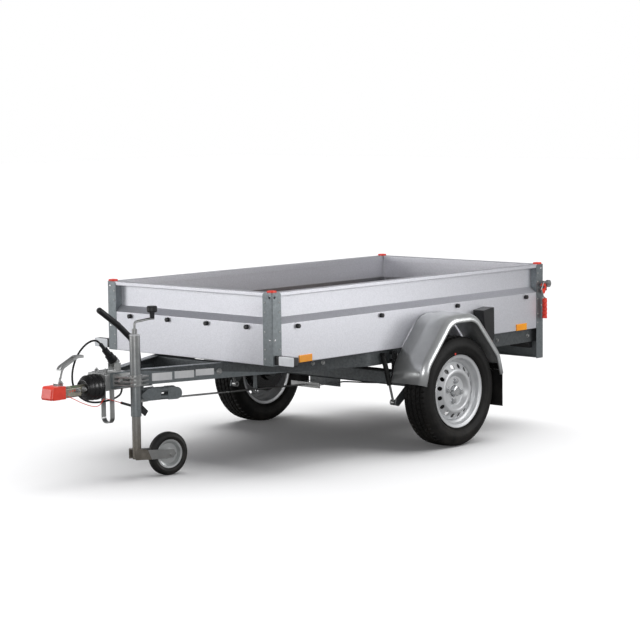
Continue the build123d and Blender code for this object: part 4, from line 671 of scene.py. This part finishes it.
# %% Draw the guards
def rolled_guard(name, side):
    ring, rings = guard_section(), arch_places()
    points = []
    for place, inward in rings:
        for x, sunk in ring:
            spot = place + inward * sunk
            points.append((side * x, WHEEL.y + spot.x, spot.y))
    n = len(ring)
    faces = [tuple(range(n)), tuple(reversed(range((len(rings) - 1) * n, len(rings) * n)))]
    for row in range(len(rings) - 1):
        a, b = row * n, (row + 1) * n
        for k in range(n):
            m = (k + 1) % n
            faces.append((a + k, a + m, b + m, b + k))
    piece = mesh_piece(name, points, faces)
    face_outward(piece)
    for polygon in piece.data.polygons:
        polygon.use_smooth = len(polygon.vertices) == 4
    piece.data.materials.append(LOOKS["guard_zinc"])
    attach(piece, "chassis")
    return piece


guards = [rolled_guard("mudguard_" + side_name, side) for side_name, side in SIDES]
for guard in guards:
    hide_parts("mudguards")
    print(guard.name, len(guard.data.polygons), "faces")

# %% [markdown]
# Seats for fasteners
# Bolts, nuts and rivets sit on folded sheet, on a leaning drawbar and on a dished wheel. Their
# places could be typed in, but each would need the surface's height and slope as well. A line shot
# at a node from outside finds both: its first hit is the seat, and the surface there is what the
# head stands square to.

# %% Find a seat
TREES = {}


def seat(node, start, direction):
    """The first point of a node met along a line, and the surface's direction there, in metres."""
    if node not in TREES:
        mesh = NODES[node].data
        TREES[node] = BVHTree.FromPolygons([v.co for v in mesh.vertices], [p.vertices for p in mesh.polygons])
    spot, normal, _, _ = TREES[node].ray_cast(Vector(start), Vector(direction).normalized())
    if spot is not None and normal.dot(Vector(direction)) > 0:
        normal = -normal
    return spot, normal


floor_seat, _ = seat("load_floor", built(0, 1000, 700), (0, 0, -1))
print("load floor's top is at", round(floor_seat.z, 4))

# %% [markdown]
# Heads
# A bolt head is a washer, six flats and a small chamfer, and a nut shows the bolt's end above it. A
# rivet is a low dome. Each is made once at unit size and hidden. Threads are left out, because at
# this size nobody sees them, and a head that is repeated needs few faces.

# %% Shape the heads
HEX_CORNER = 0.577
CHAMFER_CORNER = 0.47
WASHER_LOW, WASHER_HIGH = 0.80, 0.77
STUB_LOW, STUB_HIGH = 0.30, 0.27
FLATS_SHARE = 0.8
DOME = [(0.5, 0.0), (0.5, 0.06), (0.43, 0.16), (0.28, 0.24)]
DOME_TOP = 0.27
DOME_SIDES = 16


def hidden_head(name, bm, smooth=False):
    piece = from_bmesh(name, bm, smooth)
    piece.hide_render = piece.hide_viewport = True
    return piece


def hex_head(name, height=0.55, washer=0.14, stub=0.0):
    """A unit head, one across its flats, facing +Z: washer, flats, chamfer and the bolt's end."""
    layers = [(20, WASHER_LOW, WASHER_HIGH, washer),
              (6, HEX_CORNER, HEX_CORNER, height * FLATS_SHARE),
              (6, HEX_CORNER, CHAMFER_CORNER, height * (1 - FLATS_SHARE)),
              (16, STUB_LOW, STUB_HIGH, stub)]
    bm = bmesh.new()
    level = 0.0
    for sides, low, high, depth in layers:
        if depth:
            layer = bmesh.ops.create_cone(bm, cap_ends=True, segments=sides, radius1=low, radius2=high,
                                          depth=depth)
            bmesh.ops.translate(bm, verts=layer["verts"], vec=(0, 0, level + depth / 2))
            level += depth
    return hidden_head(name, bm)


def round_head(name):
    """A unit rivet, one across, with a low dome, facing +Z."""
    bm = bmesh.new()
    rows = []
    for radius, z in DOME:
        turns = [2 * math.pi * k / DOME_SIDES for k in range(DOME_SIDES)]
        rows.append([bm.verts.new((radius * math.cos(turn), radius * math.sin(turn), z)) for turn in turns])
    tip = bm.verts.new((0, 0, DOME_TOP))
    for k in range(DOME_SIDES):
        m = (k + 1) % DOME_SIDES
        for low, high in zip(rows, rows[1:]):
            bm.faces.new((low[k], low[m], high[m], high[k]))
        bm.faces.new((rows[-1][k], rows[-1][m], tip))
    bm.faces.new(rows[0][::-1])
    return hidden_head(name, bm, smooth=True)


HEADS = {
    "bolt": hex_head("head_bolt"), "nut": hex_head("head_nut", 0.7, 0.1, 0.35),
    "rivet": round_head("head_rivet"),
}
print("heads", {kind: len(head.data.polygons) for kind, head in HEADS.items()})

# %% [markdown]
# One head on every point
# There are over a hundred heads. A loop could copy them. Geometry Nodes do it in one step: they put
# an instance of the head on each point, turned to the point's direction and scaled to its size,
# make the instances real, because the export drops them, and give them their finish.

# %% The fastener tree
def fastener_nodes():
    group = bpy.data.node_groups.new("Fasteners on points", "GeometryNodeTree")
    for label, kind in (("Points", "NodeSocketGeometry"), ("Head", "NodeSocketObject"),
                        ("Finish", "NodeSocketMaterial")):
        group.interface.new_socket(label, in_out="INPUT", socket_type=kind)
    group.interface.new_socket("Fasteners", in_out="OUTPUT", socket_type="NodeSocketGeometry")
    start, end = group.nodes.new("NodeGroupInput"), group.nodes.new("NodeGroupOutput")
    head = group.nodes.new("GeometryNodeObjectInfo")
    facing = group.nodes.new("GeometryNodeInputNamedAttribute")
    facing.data_type = "FLOAT_VECTOR"
    facing.inputs["Name"].default_value = "facing"
    size = group.nodes.new("GeometryNodeInputNamedAttribute")
    size.data_type = "FLOAT"
    size.inputs["Name"].default_value = "size"
    aim = group.nodes.new("FunctionNodeAlignRotationToVector")
    aim.axis = "Z"
    place = group.nodes.new("GeometryNodeInstanceOnPoints")
    real = group.nodes.new("GeometryNodeRealizeInstances")
    paint = group.nodes.new("GeometryNodeSetMaterial")
    wire = group.links.new
    wire(start.outputs["Points"], place.inputs["Points"])
    wire(start.outputs["Head"], head.inputs["Object"])
    wire(head.outputs["Geometry"], place.inputs["Instance"])
    wire(facing.outputs[0], aim.inputs["Vector"])
    wire(aim.outputs["Rotation"], place.inputs["Rotation"])
    wire(size.outputs[0], place.inputs["Scale"])
    wire(place.outputs["Instances"], real.inputs["Geometry"])
    wire(real.outputs["Geometry"], paint.inputs["Geometry"])
    wire(start.outputs["Finish"], paint.inputs["Material"])
    wire(paint.outputs["Geometry"], end.inputs["Fasteners"])
    return group


FASTENERS = fastener_nodes()
print("tree", FASTENERS.name, len(FASTENERS.nodes), "nodes")

# %% [markdown]
# A row of fasteners
# Each row is one piece: its points are the seats, and every point carries two values that the tree
# reads, the direction and the size. The result replaces the points, so that nothing live is left.

# %% Fasten a row
HEAD_SUNK = 0.0002


def found_seats(name, spots):
    """The seat, the surface's direction and the size for each spot, and for its twin if it has one."""
    seats = []
    for node, start, direction, size, twin in spots:
        for sign in ((1, -1) if twin else (1,)):
            x, y, z = start
            dx, dy, dz = direction
            spot, normal = seat(node, built(sign * x, y, z), (sign * dx, dy, dz))
            if spot is None:
                print("no seat", name, node, start, direction)
            else:
                seats.append((spot - normal * HEAD_SUNK, normal, size / 1000))
    return seats


def fasten(name, kind, body, look, spots):
    """Heads of one look as one piece.

    spots holds (node, start in mm, direction, size in mm, whether its twin is made too)."""
    seats = found_seats(name, spots)
    piece = mesh_piece(name, [place for place, _, _ in seats], [])
    facing = piece.data.attributes.new("facing", "FLOAT_VECTOR", "POINT")
    facing.data.foreach_set("vector", [value for _, normal, _ in seats for value in normal])
    width = piece.data.attributes.new("size", "FLOAT", "POINT")
    width.data.foreach_set("value", [size for _, _, size in seats])
    maker = piece.modifiers.new("fasteners", "NODES")
    maker.node_group = FASTENERS
    sockets = {item.name: item.identifier for item in FASTENERS.interface.items_tree
               if item.in_out == "INPUT"}
    maker[sockets["Head"]] = HEADS[kind]
    maker[sockets["Finish"]] = LOOKS[look]
    bpy.context.view_layer.update()
    real = bpy.data.meshes.new_from_object(piece.evaluated_get(bpy.context.evaluated_depsgraph_get()))
    piece.modifiers.clear()
    piece.data = real
    real.name = name
    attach(piece, body)
    print(name, len(seats), "heads", len(real.polygons), "faces")


# %% [markdown]
# Wheel bolts
# Four large bolts hold each wheel. They could be part of the rim, but the frame's meshes stay as
# they are, so they are pieces that ride on the wheel and turn with it.

# %% Bolt the wheels
BOLT_COUNT = 4
BOLT_CIRCLE = 50
BOLT_TURN = math.radians(80)
BOLT_SIZE = 21
WHEEL_OUTSIDE = 760

for side_name, side in SIDES:
    ring = []
    for k in range(BOLT_COUNT):
        turn = 2 * math.pi * k / BOLT_COUNT + BOLT_TURN
        start = (side * WHEEL_OUTSIDE, AXLE_BACK + BOLT_CIRCLE * math.cos(turn),
                 AXLE_HEIGHT + BOLT_CIRCLE * math.sin(turn))
        ring.append(("rim_" + side_name, start, (-side, 0, 0), BOLT_SIZE, False))
    fasten(f"wheel_{side_name}_bolts", "bolt", "wheel_" + side_name, "bright_zinc", ring)

# %% [markdown]
# Rivets and bolts of box and frame
# Rivets run up the corner posts, and bolts stand along the rails. Every head could have a line of
# its own, but loops show the pattern. A start lies well outside the node that its line looks for:
# OUTSIDE is beside the box, AHEAD in front of it, ABOVE over its floor and BEHIND past the tailgate.

# %% Fasten box and frame
INWARD, DOWN, BACKWARD, FORWARD = (-1, 0, 0), (0, 0, -1), (0, 1, 0), (0, -1, 0)
ARM_INWARD = (-0.93, 0.36, 0)
OUTSIDE, AHEAD, ABOVE, BEHIND = 700, -200, 700, 2300

posts = []
for z in (530, 575, 655, 745, 790):
    posts.append(("corner_posts", (OUTSIDE, 48, z), INWARD, 9, True))
    posts.append(("corner_posts", (512, AHEAD, z), BACKWARD, 9, True))
    posts.append(("corner_posts", (OUTSIDE, 2012, z), INWARD, 9, True))
fasten("post_rivets", "rivet", "chassis", "zinc_plate", posts)

frame_bolts = []
for y in (420, 470, 905, 1065, 1290, 1700, 1960):
    frame_bolts.append(("frame_rails", (OUTSIDE, y, 462), INWARD, 13, True))
frame_bolts.append(("frame_rails", (330, -60, 455), ARM_INWARD, 18, True))
fasten("frame_bolts", "bolt", "chassis", "zinc_plate", frame_bolts)

# %% [markdown]
# Nuts of the drawbar, rivets of the tailgate, screws of the floor
# The drawbar's fittings are held by nuts with the bolt's end showing. They are listed one by one,
# because they follow no pattern. The tailgate's rivets ride on the tailgate, and the jockey wheel's
# nut on that wheel, so that they move with them.

# %% Fasten drawbar, tailgate and floor
drawbar_nuts = [
    ("overrun_housing", (-30, -545, 640), DOWN, 17, True),
    ("overrun_housing", (200, -480, 460), INWARD, 17, True),
    ("coupling_head", (120, -712, 424), INWARD, 17, True),
    ("coupling_head", (120, -668, 424), INWARD, 17, True),
    ("jockey_clamp", (100, -700, 452), BACKWARD, 17, False),
    ("coupling_handle", (80, -797, 463), INWARD, 12, True),
]
fasten("drawbar_bolts", "nut", "chassis", "zinc_plate", drawbar_nuts)

leaf_rivets = []
for x in (282, 318):
    for z in (520, 548):
        leaf_rivets.append(("tailgate_hinges", (x, BEHIND, z), FORWARD, 10, True))
fasten("tailgate_rivets", "rivet", "tailgate", "zinc_plate", leaf_rivets)

floor_screws = []
for y in (60, 440, 860, 1290, 1700, 1980):
    for x in (120, 360, 535):
        floor_screws.append(("load_floor", (x, y, ABOVE), DOWN, 11, True))
fasten("floor_screws", "rivet", "chassis", "zinc_plate", floor_screws)

jockey_nut = [("jockey_rim", (300, -310, 100), (-0.978, 0.208, 0), 18, False)]
fasten("jockey_axle_nut", "nut", "jockey_wheel", "zinc_plate", jockey_nut)

# %% [markdown]
# Plates
# Three blank plates stand on the left drawbar arm. A plate could be a thin box, but the arm leans
# and runs at a slant, so each of the four corners is seated on it, and the plate follows it.

# %% Lay the plates
PLATE_THICK = 0.0005
PLATE_SUNK = 0.0001
PLATE_FACES = [(0, 1, 2, 3), (7, 6, 5, 4), (0, 4, 5, 1), (1, 5, 6, 2), (2, 6, 7, 3), (3, 7, 4, 0)]
ARM_FRONT, ARM_REAR = (63.3, -440), (530, 690)
OFF_ARM = (93, -36)

add_looks({
    "blank_foil": dict(dark=(0.66, 0.67, 0.68), light=(0.8, 0.8, 0.8), rough=0.4, metal=0.2, scale=10.0,
                       edge=0.0),
    "green_film": dict(dark=(0.02, 0.33, 0.06), light=(0.04, 0.42, 0.09), rough=0.35, scale=10.0, edge=0.0),
    "yellow_dot": dict(dark=(0.8, 0.55, 0.03), light=(0.85, 0.6, 0.05), rough=0.5, scale=10.0, edge=0.0),
})


def plate(name, node, corners, direction, look):
    """A thin plate on a node, between four places that are shot at it along a direction."""
    outer, inner = [], []
    for corner in corners:
        spot, normal = seat(node, built(*corner), direction)
        outer.append(spot + normal * PLATE_THICK)
        inner.append(spot - normal * PLATE_SUNK)
    piece = mesh_piece(name, outer + inner, PLATE_FACES)
    face_outward(piece)
    piece.data.materials.append(LOOKS[look])
    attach(piece, "chassis")
    print(name, "on", node)


def arm_plate(name, y0, y1, z0, z1):
    """A blank plate on the left drawbar arm, between two places along it and two heights."""
    corners = []
    for y, z in ((y0, z1), (y0, z0), (y1, z0), (y1, z1)):
        share = (y - ARM_FRONT[1]) / (ARM_REAR[1] - ARM_FRONT[1])
        x = ARM_FRONT[0] + (ARM_REAR[0] - ARM_FRONT[0]) * share
        corners.append((x + OFF_ARM[0], y + OFF_ARM[1], z))
    plate(name, "frame_rails", corners, ARM_INWARD, "blank_foil")


arm_plate("plate_front", -331, -240, 432, 468)
arm_plate("plate_middle", -229, -140, 436, 470)
arm_plate("plate_rear", -132, -48, 442, 472)

# %% [markdown]
# Tyre dots
# A red and a yellow paint dot are on the left tyre's wall. A mask in the tyre's material could
# paint them, but a thin disc is a shape of its own in the export too.

# %% Dot the tyre
DOT_RADIUS = 0.0055
DOT_THICK = 0.0004
WALL_OUT = 0.0752


def dot(name, body, radius, angle, look):
    """A small disc on the left road tyre's outer wall, at a radius and an angle."""
    bm = bmesh.new()
    bmesh.ops.create_cone(bm, cap_ends=True, segments=20, radius1=DOT_RADIUS, radius2=DOT_RADIUS,
                          depth=DOT_THICK)
    bmesh.ops.transform(bm, matrix=Matrix.Rotation(math.pi / 2, 4, "Y"), verts=bm.verts)
    spot = (WHEEL.x + WALL_OUT, WHEEL.y + radius * math.cos(angle), WHEEL.z + radius * math.sin(angle))
    bmesh.ops.translate(bm, verts=bm.verts, vec=spot)
    piece = from_bmesh(name, bm)
    piece.data.materials.append(LOOKS[look])
    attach(piece, body)
    print(name, "rides on", body)


dot("tyre_dot_red", "wheel_left", 0.1935, math.radians(102), "red_plastic")
dot("tyre_dot_yellow", "wheel_left", 0.2260, math.radians(227), "yellow_dot")

# %% [markdown]
# Marks on the coupling, bright heads in the post holes
# The coupling carries a green film patch and three red wear marks, all without words, laid on like
# the plates. Rivet heads of bright zinc are seated on the wall behind the post holes, as a painted
# highlight that stands in for the light showing through the holes.

# %% Mark the coupling
COUPLING_SIDE, COUPLING_ABOVE = 120, 600
WEAR_MARKS = [(-758, -752, 420, 427), (-744, -738, 421, 428), (-730, -724, 422, 429)]

for k, (y0, y1, z0, z1) in enumerate(WEAR_MARKS, 1):
    corners = [(COUPLING_SIDE, y, z) for y, z in ((y0, z1), (y0, z0), (y1, z0), (y1, z1))]
    plate(f"wear_mark_{k}", "coupling_head", corners, INWARD, "red_plastic")
film = [(x, y, COUPLING_ABOVE) for x, y in ((-14, -736), (14, -736), (14, -694), (-14, -694))]
plate("coupling_film", "coupling_head", film, DOWN, "green_film")

# Bright zinc heads behind the post holes: painted light for the brightness seen through them.
hole_light_heads = [
    ("side_walls", (OUTSIDE, 17, 618), INWARD, 15, True),
    ("front_wall", (543, AHEAD, 618), BACKWARD, 15, True),
    ("side_walls", (OUTSIDE, 2043, 618), INWARD, 15, True),
    ("side_walls", (OUTSIDE, 2043, 815), INWARD, 15, True),
]
fasten("post_inserts", "rivet", "chassis", "bright_zinc", hole_light_heads)

# %% [markdown]
# Cords
# The supply cable hangs from its parked plug in a stiff loop back to the housing, and the thin
# breakaway cable runs from the coupling to its clip. Straight tubes with rounded corners would look
# like bent wire. A NURBS curve of the second degree, with the CAD routes' points as its control
# points, bends evenly and is held at both ends.

# %% Lay the cords
def cord_curve(name, node, points, look, length, diameter):
    curve = bpy.data.curves.new(name, "CURVE")
    curve.dimensions = "3D"
    curve.bevel_depth = diameter / 2
    curve.bevel_resolution = 5
    curve.use_fill_caps = True
    line = curve.splines.new("NURBS")
    line.points.add(len(points) - 1)
    for knot, spot in zip(line.points, points):
        knot.co = (*built(*spot), 1)
    line.order_u = 3
    line.use_endpoint_u = True
    line.resolution_u = 8
    piece = link(bpy.data.objects.new(name, curve))
    curve.materials.append(LOOKS[look])
    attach(piece, "chassis")
    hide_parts(node)
    print(name, len(points), "points", length, "m")


supply_route = [
    (38.0, -454.0, 416.0), (38.0, -454.0, 387.0), (24.0, -470.0, 366.0), (6.0, -497.0, 354.0),
    (-10.0, -530.0, 348.0), (-25.0, -570.0, 347.0), (-38.0, -610.0, 359.0), (-46.0, -648.0, 389.0),
    (-47.0, -673.0, 432.0), (-44.0, -681.0, 482.0), (-39.0, -672.0, 535.0), (-31.0, -650.0, 582.0),
    (-18.0, -622.0, 617.0), (-6.0, -588.0, 636.0), (0.0, -558.021, 630.467), (0.0, -543.303, 614.115),
]
breakaway_route = [
    (33.5, -780.0, 407.0), (37.0, -750.0, 393.0), (41.0, -715.0, 374.0), (43.0, -681.0, 359.0),
    (45.0, -648.0, 347.0), (46.0, -619.0, 340.0), (46.0, -597.0, 345.0), (46.0, -583.0, 359.0),
    (46.0, -573.0, 370.0), (46.0, -556.0, 370.0), (46.0, -530.0, 362.0), (45.5, -500.0, 352.0),
    (45.0, -466.0, 341.0),
]
cord_curve("supply_cable", "supply_cord", supply_route, "rubber",
           length=0.606, diameter=0.009)
cord_curve("breakaway_cable", "breakaway_cord", breakaway_route, "red_plastic",
           length=0.343, diameter=0.0035)

# %% [markdown]
# Floor
# The trailer stands on a pale floor that keeps only a soft shadow. A shadow catcher would need a
# compositor. A wide plane does as well: to the camera it is nearly white, with a little glow of its
# own, and to all other rays it is a dull grey, so that the metal isn't lit up from below.

# %% Lay the floor
FLOOR_REACH = 40
FLOOR_SEEN = 0.92
FLOOR_FELT = 0.24
FLOOR_GLOW = 0.05


def pale_floor():
    low, high = -FLOOR_REACH, FLOOR_REACH
    piece = mesh_piece("floor", [(low, low, 0), (high, low, 0), (high, high, 0), (low, high, 0)],
                       [(0, 1, 2, 3)])
    made = bpy.data.materials.new("floor")
    made.use_nodes = True
    tree = made.node_tree
    tree.nodes.clear()
    out = tree.nodes.new("ShaderNodeOutputMaterial")
    matt = tree.nodes.new("ShaderNodeBsdfDiffuse")
    matt.inputs["Color"].default_value = (FLOOR_SEEN, FLOOR_SEEN, FLOOR_SEEN, 1)
    dull = tree.nodes.new("ShaderNodeBsdfDiffuse")
    dull.inputs["Color"].default_value = (FLOOR_FELT, FLOOR_FELT, FLOOR_FELT, 1)
    glow = tree.nodes.new("ShaderNodeEmission")
    glow.inputs["Strength"].default_value = FLOOR_GLOW
    path = tree.nodes.new("ShaderNodeLightPath")
    seen = tree.nodes.new("ShaderNodeMixShader")
    both = tree.nodes.new("ShaderNodeAddShader")
    tree.links.new(matt.outputs[0], both.inputs[0])
    tree.links.new(glow.outputs[0], both.inputs[1])
    tree.links.new(path.outputs["Is Camera Ray"], seen.inputs[0])
    tree.links.new(dull.outputs[0], seen.inputs[1])
    tree.links.new(both.outputs[0], seen.inputs[2])
    tree.links.new(seen.outputs[0], out.inputs["Surface"])
    piece.data.materials.append(made)
    return piece


floor = pale_floor()
print("floor reaches", FLOOR_REACH, "m each way")

# %% [markdown]
# World
# Zinc looks like what it mirrors. An even white world would make it flat, and a photograph of a
# studio isn't allowed. So the camera sees plain white, while the metal sees a ramp that is pale at
# the horizon and dark overhead, and darker still towards the rear.

# %% Light from all round
SKY = {0.0: (0.88, 0.88, 0.90), 0.32: (0.50, 0.50, 0.52), 0.9: (0.13, 0.13, 0.14)}
SKY_STRENGTH = 0.72
REAR_START, REAR_END, REAR_SHARE = 0.25, 0.85, 0.35


def surroundings():
    world = bpy.data.worlds.new("studio")
    bpy.context.scene.world = world
    world.use_nodes = True
    tree = world.node_tree
    tree.nodes.clear()
    out = tree.nodes.new("ShaderNodeOutputWorld")
    place = tree.nodes.new("ShaderNodeTexCoord")
    split = tree.nodes.new("ShaderNodeSeparateXYZ")
    ramp = tree.nodes.new("ShaderNodeValToRGB")
    (low, pale), (waist, middle), (high, dark) = SKY.items()
    ramp.color_ramp.elements[0].position = low
    ramp.color_ramp.elements[0].color = (*pale, 1)
    ramp.color_ramp.elements[1].position = high
    ramp.color_ramp.elements[1].color = (*dark, 1)
    ramp.color_ramp.elements.new(waist).color = (*middle, 1)
    behind = remap(tree, split.outputs["Y"], REAR_START, REAR_END, 1.0, REAR_SHARE)
    shade = mixed(tree, behind, (0.0, 0.0, 0.0), ramp.outputs[0])
    light = tree.nodes.new("ShaderNodeBackground")
    light.inputs["Strength"].default_value = SKY_STRENGTH
    white = tree.nodes.new("ShaderNodeBackground")
    white.inputs["Color"].default_value = (1, 1, 1, 1)
    white.inputs["Strength"].default_value = 1.0
    path = tree.nodes.new("ShaderNodeLightPath")
    pick = tree.nodes.new("ShaderNodeMixShader")
    tree.links.new(place.outputs["Generated"], split.inputs[0])
    tree.links.new(split.outputs["Z"], ramp.inputs[0])
    tree.links.new(shade, light.inputs["Color"])
    tree.links.new(path.outputs["Is Camera Ray"], pick.inputs[0])
    tree.links.new(light.outputs[0], pick.inputs[1])
    tree.links.new(white.outputs[0], pick.inputs[2])
    tree.links.new(pick.outputs[0], out.inputs["Surface"])


surroundings()
print("world", bpy.context.scene.world.name)

# %% [markdown]
# Lamps
# The light comes from a wide ceiling behind the trailer, so that the shadow is soft and falls to
# the front. A single large area lamp would fade with distance. Two wide suns, one to each side,
# light the whole floor alike. Three discs then light the walls that the camera sees. They would
# wash the shadow out, so light linking leaves the floor out of their reach.

# %% Hang the lamps
def soft_sun(name, direction, spread, strength):
    """A far light of a wide angle, which lights the whole floor alike and blurs the shadow."""
    data = bpy.data.lights.new(name, "SUN")
    data.angle = math.radians(spread)
    data.energy = strength
    lamp = link(bpy.data.objects.new(name, data))
    lamp.rotation_euler = (-Vector(direction)).to_track_quat("-Z", "Y").to_euler()
    lamp.visible_glossy = False
    print(name, spread, "degrees")


def soft_fill(name, spot, aim, size, power):
    """A wide disc that lights the trailer and leaves the floor out."""
    data = bpy.data.lights.new(name, "AREA")
    data.shape = "DISK"
    data.size = size
    data.energy = power
    lamp = link(bpy.data.objects.new(name, data))
    lamp.location = spot
    lamp.rotation_euler = (Vector(aim) - Vector(spot)).to_track_quat("-Z", "Y").to_euler()
    unlit = bpy.data.collections.new(name + "_unlit")
    unlit.objects.link(floor)
    lamp.light_linking.receiver_collection = unlit
    unlit.collection_objects[0].light_linking.link_state = "EXCLUDE"
    print(name, power, "W")


soft_sun("overhead_near", direction=(-0.34, 0.40, 0.85), spread=62, strength=1.85)
soft_sun("overhead_far", direction=(0.24, 0.36, 0.90), spread=62, strength=1.60)
soft_fill("front", spot=(5.0, -6.5, 2.2), aim=(0, -0.2, 0.5), size=3.5, power=170)
soft_fill("card_left", spot=(3.0, 1.9, 1.2), aim=(0.5, -0.3, 0.6), size=2.0, power=32)
soft_fill("card_front", spot=(-5.5, -7.0, 1.9), aim=(0.0, -0.7, 0.6), size=4.2, power=190)

# %% [markdown]
# Camera
# A camera could be moved about until the render fits. This one comes from a fit to the corners of
# the load box and the wheel: its place, where it looks, a small roll, and the focal length for a
# 36 mm sensor. Roll turns the picture about the line of sight, so it turns right and up alike.

# %% Set the camera
AZIMUTH, ELEVATION, ROLL = math.radians(42.663), math.radians(6.012), math.radians(-0.660)
CAMERA_PLACE = (7.0759, -7.3640, 1.6992)
FOCAL_LENGTH = 116.72
SENSOR_WIDTH = 36.0
FAR_END = 200.0

look = Vector((-math.sin(AZIMUTH) * math.cos(ELEVATION), math.cos(AZIMUTH) * math.cos(ELEVATION),
               -math.sin(ELEVATION)))
right = look.cross(Vector((0, 0, 1))).normalized()
up = right.cross(look)
right_rolled = math.cos(ROLL) * right + math.sin(ROLL) * up
up_rolled = -math.sin(ROLL) * right + math.cos(ROLL) * up
lens = bpy.data.cameras.new("camera")
lens.sensor_width = SENSOR_WIDTH
lens.lens = FOCAL_LENGTH
lens.clip_end = FAR_END
camera = link(bpy.data.objects.new("camera", lens))
camera.matrix_world = Matrix.Translation(CAMERA_PLACE) @ Matrix(
    (right_rolled, up_rolled, -look)).transposed().to_4x4()
bpy.context.scene.camera = camera
bpy.context.scene.view_settings.view_transform = "Standard"
print("camera", [round(v, 3) for v in camera.location])
